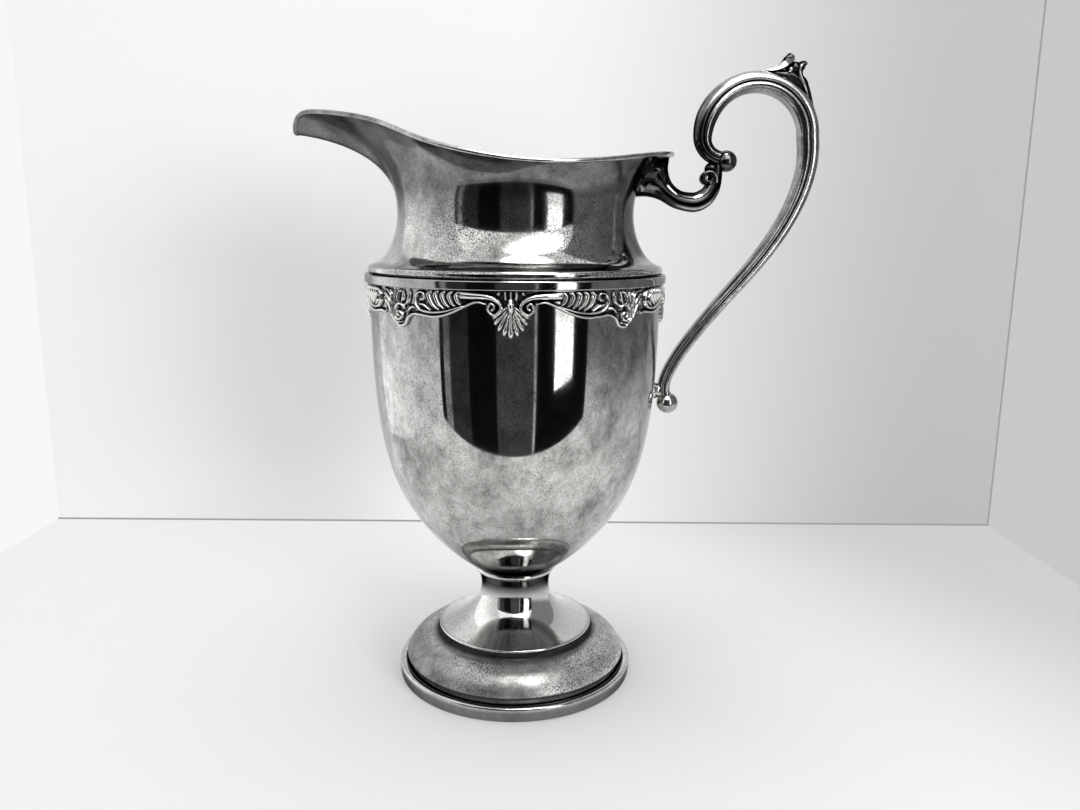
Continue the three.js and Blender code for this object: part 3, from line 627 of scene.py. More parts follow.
# Steps up the neck to its waist and from there to the lip, steps up the turned mouth, turns round the
# neck, how much closer together these stand at the spout, and faces round the lip's wire.
LOWER_STEPS = 22
UPPER_STEPS = 30
MOUTH_STEPS = 60
NECK_TURNS = 208
CROWDING = 0.62
WIRE_FACETS = 16


def turned_mouth(body):
    """Outer line of the mouth as it is turned before the spout is drawn out, carried on past its edge."""
    base = base_of("neck")
    waist = (body.waist_radius, base + NECK_WAIST_HEIGHT)
    rear = (body.mouth_radius + REAR_FLARE, base + SIDE_HEIGHT + REAR_RISE)
    line = cubic(waist, *between(waist, rear, [(0.0, 0.46), (0.36, 0.8)]), rear, MOUTH_STEPS)
    return np.vstack([line, line[-1] + (line[-1] - line[-2]) * MOUTH_STEPS])


def bell(turn, middle, spread):
    """Swell that is 1 at one turn and fades to both sides of it, in degrees."""
    return math.exp(-((turn - math.radians(middle)) / math.radians(spread)) ** 2)


def lip(body, turn, spun):
    """Radius and height of the sheet's edge and the spout's share in it, with the turn from the spout."""
    near = bell(turn, 0, SPOUT_SPREAD)
    cheek = CHEEK_SWELL * bell(abs(turn), CHEEK_TURN, CHEEK_SPREAD)
    reach = (body.spout_reach - body.mouth_radius) * near + cheek
    z = base_of("neck") + SIDE_HEIGHT - TIP_DIP * bell(turn, 0, DIP_SPREAD)
    z += (SPOUT_RISE * abs(math.cos(turn / 2)) ** SPOUT_POWER
          + REAR_RISE * abs(math.sin(turn / 2)) ** REAR_POWER)
    flare = np.interp(z, spun[:, 1], spun[:, 0])
    rearward = ramp(abs(turn), *np.radians(LIP_PASSAGE))
    return (mix(body.mouth_radius + reach, flare, rearward), z), near


def neck_line(body, turn):
    """Outer line of the neck from the top of its foot moulding to its edge."""
    base = base_of("neck")
    start = (body.bowl_radius + NECK_MOULDING_OVERHANG - NECK_MOULDING_ROUND * 0.9,
             base + 2 * NECK_MOULDING_ROUND)
    waist = (body.waist_radius, base + NECK_WAIST_HEIGHT)
    spun = turned_mouth(body)
    edge, near = lip(body, turn, spun)
    lower = cubic(start, *between(start, waist, [(0.62, 0.11), (1.0, 0.57)]), waist, LOWER_STEPS)
    bends = [(0.0, 0.5 + 0.07 * near), (0.42, 0.8 + 0.1 * near)]
    upper = cubic(waist, *between(waist, edge, bends), edge, UPPER_STEPS)
    flare = np.interp(upper[:, 1], spun[:, 1], spun[:, 0])
    height = np.clip((upper[:, 1] - waist[1]) / (edge[1] - waist[1]), 0, 1)
    flare += (edge[0] - flare[-1]) * height ** 3
    upper[:, 0] = mix(upper[:, 0], flare, ramp(abs(turn), *np.radians(NECK_PASSAGE)))
    return np.vstack([lower, upper[1:]])


def neck_turns():
    """Turns round the neck, closer together at the spout."""
    share = np.arange(NECK_TURNS) / NECK_TURNS
    turns = 2 * np.pi * share - np.sin(2 * np.pi * share) * CROWDING
    return np.where(turns > np.pi, turns - 2 * np.pi, turns)


def at_turn(turn, r, z):
    """Point at a turn from the spout, which lies along -X."""
    return (-r * math.cos(turn), -r * math.sin(turn), z)


class PITCHER_OT_foot(bpy.types.Operator):
    """Spin the foot dome and roll the band that it stands on"""
    bl_idname = "pitcher.foot"
    bl_label = "Foot"

    def execute(self, context):
        body = context.scene.pitcher_body
        finish = context.scene.pitcher_finish
        metal = silver_plate("spun_silver_plate_foot", finish, bare_metal=0.7)
        band_metal = silver_plate("rolled_silver_plate_band", finish)
        r = body.foot_radius
        dome = body.dome_radius
        inner = dome - 2.2 * MM
        high = top_of("foot_band")
        ledge = high - 0.5 * MM
        band = rounded([(inner, 0, 0.2 * MM), (r - 0.2 * MM, 0, 0.5 * MM), (r, high * 0.45, 1.0 * MM),
                        (r, high, 1.3 * MM), (dome + 0.6 * MM, high - 0.1 * MM, 0.2 * MM),
                        (dome - 0.2 * MM, ledge, 0.2 * MM), (inner, ledge, 0.2 * MM)], closed=True)
        seam = CREVICE * ramp(dome + 0.5 * MM - band[:, 0], 0, 0.5 * MM)
        below = 0.62 * ramp(high - 0.9 * MM - band[:, 1], 0, 0.8 * MM)
        spin(body, "foot_band", band, band_metal, np.maximum(seam, below))
        low = base_of("foot_dome")
        step = half_width("pedestal") - 0.5 * MM
        edge = (dome, low + 2.3 * MM)
        cove = (step + 3.8 * MM, top_of("foot_dome") - 2.8 * MM)
        crown = (step, top_of("foot_dome") + SEAM)
        groove = (dome - 1.2 * MM, low + 1.6 * MM)
        foot = low - 2 * SEAM
        rim = rounded([(groove[0], foot, 0.0), (*groove, 0.5 * MM),
                       (dome, groove[1], 0.3 * MM), (*edge, 0.0)])
        crest = cubic(edge, *between(edge, cove, [(0.06, 0.34), (0.44, 0.92)]), cove, 34)
        hollow = cubic(cove, *between(cove, crown, [(0.7, 0.0), (1.0, 0.3)]), crown, 14)
        outer = np.vstack([rim[:-1], crest, hollow[1:]])
        inside = offset(outer[3:], body.sheet)
        inside = inside[inside[:, 1] > low + 2 * body.sheet]
        inside = inside[np.argsort(inside[:, 1], kind="stable")]
        line = np.vstack([outer, inside[::-1], [(groove[0] - body.sheet, foot)], outer[:1]])
        dark = np.zeros(len(line))
        dark[:len(rim)] = GROOVE
        from_crown = np.linalg.norm(outer[len(rim):] - np.array([crown]), axis=1)
        dark[len(rim):len(outer)] = CREVICE * (1 - ramp(from_crown, 2.3 * MM, 5.2 * MM))
        spun = turned("plated_foot_dome", line, metal, body.facets, dark)
        # Painted dark reflection, low on the dome's spout side.
        points = np.array([v.co for v in spun.data.vertices])
        low_down = ramp(np.hypot(points[:, 0], points[:, 1]), dome - 10 * MM, dome - 5 * MM)
        painted_dark_reflection = 0.42 * ramp(-points[:, 0], -6 * MM, 30 * MM) * low_down
        kept = spun.data.attributes["recess"].data
        kept.foreach_set("value", np.maximum([k.value for k in kept], painted_dark_reflection))
        settle(spun, "plated_sheet", "foot_dome")
        return {"FINISHED"}


class PITCHER_OT_pedestal(bpy.types.Operator):
    """Spin the trumpet stem with its rolled lip, and the bead ring on top of it"""
    bl_idname = "pitcher.pedestal"
    bl_label = "Pedestal and stem collar"

    def execute(self, context):
        body = context.scene.pitcher_body
        metal = silver_plate("spun_silver_plate_pedestal", context.scene.pitcher_finish)
        low = base_of("pedestal")
        high = top_of("pedestal")
        lip_round = 0.65 * MM
        under = [(body.step_radius - 2.6 * MM, low)]
        root = (body.step_radius - lip_round, low + 2 * lip_round)
        waist = (body.stem_radius, high - 6.3 * MM)
        crown = (body.stem_radius + 1.7 * MM, high)
        bead = arc((root[0], low + lip_round), lip_round, -90, 75, 10)
        trumpet = cubic(root, *between(root, waist, [(0.71, 0.26), (1.0, 0.58)]), waist, 44)
        flare = cubic(waist, *between(waist, crown, [(0.0, 0.4), (0.5, 0.8)]), crown, 14)
        outer = np.vstack([bead, trumpet[1:], flare[1:]])
        inside = offset(np.vstack([trumpet, flare[1:]]), body.sheet)
        inside[:, 1] = np.clip(inside[:, 1], low, high)
        line = np.vstack([under, outer, inside[::-1], under])
        from_root = np.linalg.norm(line - np.array([root]), axis=1)
        crease = 0.35 * (1 - ramp(from_root, 0.1 * MM, 0.7 * MM))
        # Painted shade up the top of the stem, under the collar and the bowl.
        stem = 0.85 * ramp(line[:, 1], high - 11.0 * MM, high - 4.0 * MM)
        spin(body, "pedestal", line, metal, np.maximum(crease, stem))
        low = base_of("stem_collar") - SEAM
        high = top_of("stem_collar") + SEAM
        r = half_width("stem_collar")
        half = (high - low) / 2
        inner = r - 3.4 * MM
        ring = arc((r - half, (low + high) / 2), half, -90, 90, 14)
        line = np.vstack([[(inner, low)], ring, [(inner, high), (inner, low)]])
        dark = CREVICE * (1 - ramp(line[:, 0], r - 1.2 * MM, r - 0.2 * MM))
        spin(body, "stem_collar", line, metal, dark)
        return {"FINISHED"}


class PITCHER_OT_bowl(bpy.types.Operator):
    """Spin the bowl and the plain band round its seam"""
    bl_idname = "pitcher.bowl"
    bl_label = "Bowl and shoulder band"

    def execute(self, context):
        body = context.scene.pitcher_body
        finish = context.scene.pitcher_finish
        metal = silver_plate("spun_silver_plate_bowl", finish, stretch=0.7)
        band_metal = silver_plate("rolled_silver_plate_shoulder", finish)
        outer = bowl_side(body, BOWL_STEPS)
        base = outer[0, 1]
        floor = base + body.sheet
        inside = offset(outer, body.sheet)
        inside = inside[inside[:, 1] > floor]
        line = np.vstack([[(0, base)], outer, inside[::-1], [(inside[0, 0], floor), (0, floor)]])
        rise = (outer[:, 1] - base) / (outer[-1, 1] - base)
        # Painted shade under the border and on the bowl's underside.
        painted_shade_under_border = 0.3 * ramp(rise, 0.6, 0.95)
        painted_shade_underside = 0.84 * (1 - ramp(rise, 0.0, 0.15))
        dark = np.zeros(len(line))
        dark[1:len(outer) + 1] = painted_shade_under_border + painted_shade_underside
        spin(body, "bowl", line, metal, dark)
        low = base_of("shoulder_band")
        high = base_of("neck") + 0.1 * MM
        r = half_width("shoulder_band")
        inner = body.bowl_radius + 0.02 * MM
        belly = (r + 0.05 * MM, (low + high) / 2, 0.7 * MM)
        band = rounded([(inner, low, 0.05 * MM), (r, low, 0.5 * MM), belly, (r, high, 0.6 * MM),
                        (inner, high, 0.05 * MM)], closed=True)
        edges = GROOVE * (1 - ramp(band[:, 0], r - 0.8 * MM, r - 0.2 * MM))
        spin(body, "shoulder_band", band, band_metal, np.maximum(edges, 0.3))
        return {"FINISHED"}


class PITCHER_OT_neck(bpy.types.Operator):
    """Draw the neck out into its spout and run the wire along its lip"""
    bl_idname = "pitcher.neck"
    bl_label = "Neck and rim wire"

    def execute(self, context):
        body = context.scene.pitcher_body
        finish = context.scene.pitcher_finish
        metal = silver_plate("drawn_silver_plate_neck", finish)
        wire_metal = silver_plate("silver_wire", finish)
        base = base_of("neck")
        moulding = NECK_MOULDING_ROUND
        centre = (body.bowl_radius + NECK_MOULDING_OVERHANG - moulding, base + moulding)
        bead = arc(centre, moulding, -85, 72, 14)
        foot = [(bead[0, 0] - 1.2 * MM, base)]
        turns = neck_turns()
        rings = []
        wire = []
        for turn in turns:
            line = neck_line(body, turn)
            way = line[-1] - line[-2]
            way /= np.linalg.norm(way)
            line = np.vstack([line, [line[-1] + way * 0.5 * MM]])
            outer = np.vstack([foot, bead, line[1:]])
            inside = offset(line, body.sheet)
            inside = inside[inside[:, 1] > base + body.sheet]
            spare = len(line) - len(inside)
            inside = np.vstack([[(inside[0, 0], base + body.sheet)]] * (spare + 1) + [inside])
            ring = np.vstack([outer, inside[::-1], [(inside[0, 0], base)]])
            rings.append([at_turn(turn, r, z) for r, z in ring])
            middle = (line[-1] + inside[-1]) / 2 + way * 0.55 * MM
            wire.append(at_turn(turn, *middle))
        rows = len(turns)
        columns = len(rings[0])
        faces = skin(rows + 1, columns, round_columns=True)
        faces = [tuple(i % (rows * columns) for i in face) for face in faces]
        points = np.array(rings).reshape(-1, 3)
        height = points[:, 2] - base
        swing = np.degrees(np.abs(np.repeat(turns, columns)))
        below = np.repeat([max(p[2] for p in ring) for ring in rings], columns) - points[:, 2]
        # Film in the crease over the moulding, darker on the spout, and painted dark reflection high on the
        # flare and on the handle's side.
        crease = 0.3 * (1 - ramp(np.abs(height - 2 * moulding), 0.3 * MM, 1.6 * MM))
        crease *= np.hypot(points[:, 0], points[:, 1]) < body.bowl_radius
        spout = 0.68 * ramp(-points[:, 0], 34 * MM, 62 * MM) * ramp(height, 24 * MM, 40 * MM)
        high = 0.62 * ramp(height, 14 * MM, 36 * MM)
        right = 0.5 * ramp(points[:, 0], 12 * MM, 40 * MM) * ramp(height, 5 * MM, 9 * MM)
        # Painted dark reflection, lens-shaped, under the lip on each side, deepest where the mouth curls
        # over most.
        depth = mix(6.5 * MM, 1.0 * MM, ramp(np.abs(swing - 74), 4, 34))
        lens = 0.86 * (1 - ramp(below, depth - 0.6 * MM, depth)) * (1 - ramp(np.abs(swing - 80), 26, 32))
        dark = np.maximum.reduce([crease, spout, high, right, lens])
        neck = grid_object("plated_neck", points, faces, metal, recess=dark)
        settle(tidy_mesh(neck), "plated_sheet", "neck")
        thicker = 0.25 * ramp(np.abs(turns), math.radians(165), math.radians(174))
        dull = 0.55 * np.exp(-(turns / math.radians(38)) ** 2)
        gauge = body.wire_diameter / 2 * (1 + thicker)
        mesh = line_mesh("lip", wire, closed=True, gauge=gauge, recess=dull)
        rim = grow("plated_rim_wire", mesh, wire_tree(), Facets=WIRE_FACETS, Finish=wire_metal)
        settle(tidy_mesh(rim), "plated_sheet", "rim_wire")
        return {"FINISHED"}


# Length of half a border mount along the wall, in mm.
HALF_MOUNT = 46.57
# Half of a mount, drawn as strokes on the unrolled wall: distance along the wall from the shell's
# middle and drop below the border's top, then half width and height, all in mm.
SHELL = [
    [(0, 4.2, 0.5, 1.0), (0, 7, 0.5, 1.2), (0, 11, 0.85, 1.7), (0, 14.4, 1.15, 1.6), (0, 15.7, 0.6, 0.9)],
    [(0.55, 7.0, 0.35, 0.9), (1.25, 10.2, 0.7, 1.5), (2.0, 13.4, 1.0, 1.5), (2.35, 14.9, 0.55, 0.8)],
    [(0.85, 6.5, 0.35, 0.9), (2.2, 9.2, 0.7, 1.4), (3.6, 12.0, 0.95, 1.4), (4.3, 13.3, 0.5, 0.7)],
    [(1.05, 6.1, 0.35, 0.8), (2.9, 8.2, 0.65, 1.25), (4.7, 10.2, 0.85, 1.2), (5.6, 11.2, 0.45, 0.6)],
    [(1.1, 5.2, 0.35, 0.8), (3.2, 6.9, 0.55, 1.05), (5.3, 8.5, 0.75, 1.0), (6.3, 9.2, 0.4, 0.5)],
    [(0, 3.4, 1.0, 1.3), (0, 5.0, 1.4, 1.85), (0, 6.6, 1.0, 1.3)],
    [(0, 0.3, 0.5, 0.9), (0, 2.4, 0.5, 0.9)],
    [(2.0, 0.3, 0.5, 0.9), (1.8, 2.6, 0.5, 0.9)],
    [(4.2, 0.6, 0.6, 0.9), (4.4, 0.9, 0.6, 0.9)],
]
ARM = [
    [(18.2, 1.4, 1.5, 0.9), (14, 1.6, 1.4, 1.3), (10, 1.7, 1.2, 1.45), (6.5, 2.3, 1.0, 1.5),
     (4.2, 3.8, 0.8, 1.5), (3.4, 5.3, 0.65, 1.4), (4, 6.8, 0.6, 1.4), (6, 8, 0.6, 1.4),
     (7.9, 6.3, 0.6, 1.5), (7, 4.1, 0.55, 1.5), (5.7, 4.8, 0.5, 1.5), (6, 6, 0.55, 1.6),
     (6.6, 6.2, 0.6, 1.6)],
    [(8.5, 4.4, 0.35, 0.9), (12, 3.7, 0.5, 1.15), (16, 5.2, 0.55, 1.25), (20, 7.1, 0.55, 1.3),
     (24, 8.6, 0.55, 1.3), (28, 9.3, 0.55, 1.3), (32, 9.1, 0.55, 1.25), (36, 8.7, 0.55, 1.2),
     (38.5, 9.0, 0.45, 1.0)],
    [(16, 4.9, 0.3, 0.8), (20, 6.2, 0.4, 1.0), (24, 7.3, 0.45, 1.1), (28, 7.8, 0.5, 1.2),
     (31, 7.7, 0.55, 1.3), (34, 7, 0.55, 1.4), (36, 5, 0.55, 1.4), (36.2, 3, 0.55, 1.4),
     (35, 1.3, 0.5, 1.4), (33, 0.9, 0.5, 1.4), (32.2, 1.8, 0.45, 1.4), (32.6, 3.2, 0.55, 1.5),
     (33.5, 3.3, 0.5, 1.5)],
    [(30, 7, 0.4, 0.9), (32.6, 5.3, 0.6, 1.2), (34.4, 5.0, 0.35, 0.9)],
]
PENDANT = [
    [(37.2, 6.6, 0.35, 0.8), (38.5, 6.5, 0.6, 1.2), (40.6, 8, 0.35, 0.8)],
    [(42.3, 7, 0.5, 1.2), (42.8, 5.9, 0.55, 1.4), (44.6, 5.5, 0.6, 1.5), (46.3, 6.5, 0.65, 1.5),
     (47.1, 8.6, 0.65, 1.5), (46.7, 10.4, 0.6, 1.5), (45.2, 11.2, 0.55, 1.5), (43.8, 10.6, 0.5, 1.5),
     (43.3, 9.3, 0.5, 1.5), (43.9, 8.3, 0.45, 1.5), (45.2, 8.2, 0.5, 1.6), (45.7, 9.2, 0.5, 1.6),
     (45, 9.8, 0.5, 1.6)],
    [(38.5, 9.2, 0.45, 1.0), (40, 10, 0.55, 1.2), (41, 11.4, 0.6, 1.2), (42, 12.8, 0.6, 1.2),
     (43.5, 13.3, 0.6, 1.2), (45, 13.4, 0.6, 1.2), (46.3, 12.6, 0.6, 1.2), (48, 11.5, 0.6, 1.2),
     (49.5, 9.8, 0.6, 1.2), (50.5, 8, 0.6, 1.2), (52, 6, 0.55, 1.1), (54.5, 4.8, 0.4, 0.9)],
    [(43.5, 12, 0.35, 1.0), (46, 12.2, 0.4, 1.0), (48.2, 10.8, 0.45, 1.1), (49, 8, 0.45, 1.1),
     (49.3, 5, 0.45, 1.1), (50, 2.5, 0.45, 1.1), (52, 1, 0.4, 1.0), (54.5, 0.8, 0.3, 0.7)],
    [(47.8, 9.5, 0.3, 1.0), (48.3, 7, 0.45, 1.2), (48.5, 4.5, 0.45, 1.2), (48.9, 2.2, 0.45, 1.2),
     (50, 0.8, 0.35, 0.9)],
    [(49.3, 9.5, 0.3, 1.0), (50.2, 6.5, 0.5, 1.2), (51.2, 4.2, 0.55, 1.2), (53, 3, 0.5, 1.1),
     (54.8, 2.1, 0.3, 0.8)],
    [(50.2, 9.2, 0.3, 0.9), (51.4, 7.2, 0.4, 1.0), (52.9, 5.5, 0.4, 1.0), (55, 3.7, 0.3, 0.8)],
    [(41.5, 5.5, 0.35, 0.9), (40, 4.5, 0.6, 1.2), (39.2, 2.5, 0.6, 1.2), (38.9, 0.8, 0.4, 0.8)],
    [(43.5, 4.8, 0.4, 0.9), (42.4, 3, 0.65, 1.25), (42.4, 1.0, 0.45, 0.8)],
    [(45.4, 5, 0.4, 0.9), (45.5, 3, 0.65, 1.25), (44.8, 1.2, 0.5, 0.9), (44, 0.8, 0.4, 0.7)],
    [(47, 6, 0.35, 0.9), (47.1, 3.5, 0.5, 1.2), (47.2, 1.2, 0.4, 0.8)],
]
# Cell of the height map, depth of the map, and the gap between two mounts, in mm.
CELL = 0.1
DEEP = 17.0
MOUNT_GAP = 0.12
# Points along and down a mount, and steps from one point of a stroke to the next.
MOUNT_COLUMNS = 441
MOUNT_ROWS = 66
STROKE_STEPS = 7
# Height of a mount's lower edge, and how deep its back sits in the bowl's wall.
MOUNT_EDGE = 0.06 * MM
MOUNT_SUNK = 0.15 * MM
# Cells that a cloth bridges round a point and how sharply it tells raised from sunk, and in mm the height
# from which it rubs everything and over which that sets in.
CLOTH_CELLS = 7
CLOTH_GAIN = 5.2
RUBBED_FROM = 0.7
RUBBED_OVER = 0.35


def comb(ribs):
    """Ribs of a leaf comb, each bowed along the scroll."""
    strokes = []
    for i in range(ribs):
        share = i / (ribs - 1)
        top = 18.6 + 11 * share
        strokes.append([(top, 0.5, 0.6, 0.9), (top + 0.8, 1.8, 0.95, 1.4),
                        (top + 0.3 - share, 3.6 + 1.2 * share, 0.85, 1.3),
                        (top - 0.4 - 2.6 * share, 4.6 + 2.1 * share, 0.35, 0.9)])
    return strokes


def press(height, stroke):
    """Raises a round stroke out of the height map, kept in cells along the wall by cells down."""
    path = through(stroke, STROKE_STEPS)
    for a, b in zip(path, path[1:]):
        reach = max(a[2], b[2]) + CELL
        low = np.maximum(np.floor((np.minimum(a[:2], b[:2]) - reach) / CELL), 0).astype(int)
        high = np.ceil((np.maximum(a[:2], b[:2]) + reach) / CELL).astype(int) + 1
        high = np.minimum(high, height.shape)
        if (high <= low).any():
            continue
        spans = [np.arange(first, last) * CELL for first, last in zip(low, high)]
        s, d = np.meshgrid(*spans, indexing="ij")
        way = b[:2] - a[:2]
        along = np.clip(((s - a[0]) * way[0] + (d - a[1]) * way[1]) / max(way @ way, 1e-9), 0, 1)
        away = np.hypot(s - a[0] - along * way[0], d - a[1] - along * way[1])
        half = mix(a[2], b[2], along)
        rise = mix(a[3], b[3], along) * np.sqrt(np.clip(1 - (away / half) ** 2, 0, 1))
        part = height[low[0]:high[0], low[1]:high[1]]
        np.maximum(part, rise, out=part)


def blurred(field, cells):
    """Mean over a square of cells on each side."""
    size = 2 * cells + 1
    wide = np.pad(field, cells, mode="edge")
    total = np.cumsum(np.cumsum(np.pad(wide, ((1, 0), (1, 0))), 0), 1)
    return (total[size:, size:] - total[:-size, size:] - total[size:, :-size]
            + total[:-size, :-size]) / size ** 2


def sampled_map(field, s, d):
    """Value of a map between its cells."""
    a = np.clip(s / CELL, 0, field.shape[0] - 1.001)
    b = np.clip(d / CELL, 0, field.shape[1] - 1.001)
    i = a.astype(int)
    j = b.astype(int)
    a = a - i
    b = b - j
    return ((field[i, j] * (1 - a) + field[i + 1, j] * a) * (1 - b)
            + (field[i, j + 1] * (1 - a) + field[i + 1, j + 1] * a) * b)


def mount_map(leafy, ribs):
    """Height map of half a mount, whose end is the volute or the leaf side of a pendant."""
    height = np.zeros((int(HALF_MOUNT / CELL) + 3, int(DEEP / CELL) + 1))
    for stroke in SHELL + ARM + comb(ribs):
        press(height, stroke)
    for stroke in PENDANT:
        press(height, [(2 * HALF_MOUNT - p[0] if leafy else p[0], *p[1:]) for p in stroke])
    down = np.arange(height.shape[1]) * CELL
    drop = np.where(height > 0.05, down, 1.0).max(1)
    drop = np.array([drop[max(0, i - 2):i + 3].mean() for i in range(len(drop))])
    return height, drop


class PITCHER_OT_border(bpy.types.Operator):
    """Cast the four border mounts and set them round the top of the bowl"""
    bl_idname = "pitcher.border"
    bl_label = "Cast border"

    def execute(self, context):
        body = context.scene.pitcher_body
        border = context.scene.pitcher_border
        metal = silver_plate("cast_silver_plate_border", context.scene.pitcher_finish)
        wall = bowl_side(body, WALL_STEPS)
        top = top_of("border_casting_1")
        unroll = HALF_MOUNT * MM / (math.pi / 4)
        columns = MOUNT_COLUMNS
        rows = MOUNT_ROWS
        maps = [mount_map(leafy, border.ribs) for leafy in (False, True)]
        along = np.linspace(-HALF_MOUNT + MOUNT_GAP / 2, HALF_MOUNT - MOUNT_GAP / 2, columns)
        s = np.repeat(np.abs(along), rows)
        turn = np.repeat(along * MM / unroll, rows)
        edge = np.tile(np.arange(rows) == rows - 1, columns)
        ends = np.concatenate([np.arange(columns) * rows, np.arange(columns) * rows + rows - 1])
        upper = columns * rows + np.arange(columns)
        lower = upper + columns
        faces = skin(columns, rows)
        for c in range(columns - 1):
            faces.append((c * rows, (c + 1) * rows, upper[c + 1], upper[c]))
            faces.append((c * rows + rows - 1, lower[c], lower[c + 1], (c + 1) * rows + rows - 1))
            faces.append((upper[c], upper[c + 1], lower[c + 1], lower[c]))
        for c in (0, columns - 1):
            faces.append(tuple(range(c * rows, (c + 1) * rows)) + (lower[c], upper[c]))
        faces = [tuple(int(i) for i in face) for face in faces]
        for number in range(4):
            height, drop = maps[number % 2]
            # A cloth rubs what stands above its surroundings, and all that is high.
            proud = 0.5 + CLOTH_GAIN * (height - blurred(height, CLOTH_CELLS))
            shine = np.clip(np.maximum(proud, (height - RUBBED_FROM) / RUBBED_OVER), 0, 1)
            reach = np.interp(np.abs(along), np.arange(len(drop)) * CELL, drop)
            d = np.tile(np.linspace(0, 1, rows), columns) * np.repeat(reach, rows)
            rise = np.maximum(sampled_map(height, s, d) * MM * border.relief, border.ground)
            rise = np.where(edge, MOUNT_EDGE, rise)
            dark = 1 - sampled_map(shine, s, d)
            z = top - d * MM
            r = np.interp(z, wall[:, 1], wall[:, 0])
            front, back = (np.stack([radius * np.cos(turn), radius * np.sin(turn), z], 1)
                           for radius in (r + rise, r - MOUNT_SUNK))
            black = np.concatenate([dark, np.ones(2 * columns)])
            mesh = new_mesh("mount", np.vstack([front, back[ends]]), [], faces, recess=black)
            made = grow(f"cast_border_{number + 1}", mesh, mount_tree(),
                        Turn=math.radians(90 * (number - 1)), Finish=metal)
            settle(tidy_mesh(made, crease=70), "plated_casting", f"border_casting_{number + 1}")
        return {"FINISHED"}


# Half section of the handle's bar: share of the thickness outwards and of the width, and how much
# black the point keeps. The inner face is flat, a groove runs along each side under a rounded back.
BAR_SECTION = [
    (-0.50, 0.0, 0.25), (-0.50, 0.14, 0.25), (-0.49, 0.26, 0.25), (-0.455, 0.35, 0.3),
    (-0.40, 0.40, 0.35), (-0.34, 0.435, 0.85), (-0.29, 0.465, 0.3), (-0.24, 0.49, 0.2),
    (-0.20, 0.5, -1.0), (-0.14, 0.5, -1.0), (-0.09, 0.487, 0.2), (-0.06, 0.465, 0.6), (-0.03, 0.435, 1.0),
    (0.01, 0.435, 1.0), (0.04, 0.46, 0.4), (0.07, 0.482, 0.0), (0.10, 0.486, 0.0), (0.19, 0.479, 0.0),
    (0.23, 0.472, 0.0), (0.29, 0.45, 0.0), (0.36, 0.395, 0.0), (0.42, 0.31, 0.0), (0.46, 0.22, 0.0),
    (0.49, 0.10, 0.0), (0.5, 0.0, 0.0),
]
# Half section of the bracket's arm: painted dark reflection over its faces and patina black in its hollow,
# but for a vein along each side.
ARM_SECTION = [
    (-0.5, 0.0, 0.8), (-0.47, 0.22, 0.8), (-0.43, 0.36, 0.8), (-0.38, 0.42, 0.85), (-0.32, 0.40, 0.95),
    (-0.20, 0.36, 1.0), (-0.06, 0.38, 1.0), (0.05, 0.44, 0.7), (0.12, 0.5, 0.0), (0.20, 0.5, 0.0),
    (0.27, 0.45, 0.7), (0.38, 0.35, 0.9), (0.46, 0.20, 0.9), (0.5, 0.0, 0.85),
]
# Upper and lower edge of the bracket's arm, pair by pair from the neck to the curl, and its width, in mm.
ARM_EDGES = [
    (60.6, 215.6, 47.9, 200.4, 15.5), (60.2, 211.0, 52.6, 200.4, 13.5), (61.7, 206.4, 57.3, 199.1, 10.5),
    (65.4, 203.1, 63.3, 196.0, 8.6), (70.3, 202.3, 71.2, 194.6, 8.0), (73.4, 203.4, 77.0, 197.0, 7.6),
    (75.0, 205.4, 80.5, 202.0, 7.2), (76.2, 208.4, 81.6, 208.0, 6.8), (76.8, 212.5, 81.4, 213.2, 6.2),
]
# Section of the right leaf blade: painted dark reflection but for a narrow bare face along its front.
BLADE_SECTION = [
    (-0.5, 0.0, 0.95), (-0.44, 0.26, 0.95), (-0.26, 0.42, 0.95), (-0.14, 0.47, 0.9), (-0.08, 0.495, 0.0),
    (0.06, 0.486, 0.0), (0.13, 0.46, 0.9), (0.3, 0.42, 0.95), (0.42, 0.34, 0.95), (0.5, 0.2, 0.95),
    (0.5, 0.0, 0.95),
]
# Section of the left blade, which leans up to the light; below 0 is the most that the painted dark
# reflection on its tip darkens a point.
LEFT_SECTION = [
    (-0.5, 0.0, 0.95), (-0.42, 0.4, 0.95), (-0.32, 0.5, 0.9), (-0.24, 0.5, -1.0), (0.0, 0.485, -1.0),
    (0.2, 0.465, -1.0), (0.34, 0.44, -0.94), (0.42, 0.38, -0.9), (0.48, 0.25, -0.9), (0.5, 0.1, -0.9),
    (0.5, 0.0, -0.9),
]
# Section of the strip that winds up into the bracket's volute, darkened all over as painted dark
# reflection.
STRIP_SECTION = [
    (-0.5, 0.0, 0.95), (-0.5, 0.4, 0.95), (-0.38, 0.47, 0.95), (0.0, 0.5, 0.72), (0.38, 0.47, 0.78),
    (0.5, 0.4, 0.88), (0.5, 0.0, 0.9),
]
# Middle and radius of the volute, width of its strip, and points along it.
VOLUTE_CENTRE = (75.9 * MM, 207.4 * MM)
VOLUTE_RADIUS = 4.0 * MM
VOLUTE_WIDTH = 7.0 * MM
VOLUTE_POINTS = 100
# Lobes of the thumb leaf: place, thickness and width along each of them, in mm.
LEFT_LOBE = [(95.2, 248.25, 0.5, 3.0), (97.5, 248.3, 1.0, 5.4), (100.1, 248.65, 1.65, 7.0),
             (102.15, 249.45, 2.4, 7.8), (103.9, 250.75, 3.2, 7.8), (105.3, 252.25, 3.9, 7.0),
             (105.5, 253.5, 3.4, 5.6), (105.35, 254.3, 1.8, 4.0), (105.2, 254.7, 0.6, 1.4)]
RIGHT_LOBE = [(114.9, 234.2, 0.6, 3.0), (112.8, 239.7, 1.6, 6.0), (111.2, 243.2, 2.4, 7.6),
              (109.5, 246.3, 2.7, 8.0), (109.4, 248.6, 3.0, 7.4), (110.2, 250.1, 3.4, 6.0),
              (111.4, 251.0, 2.4, 4.0), (112.7, 251.1, 0.6, 1.2)]
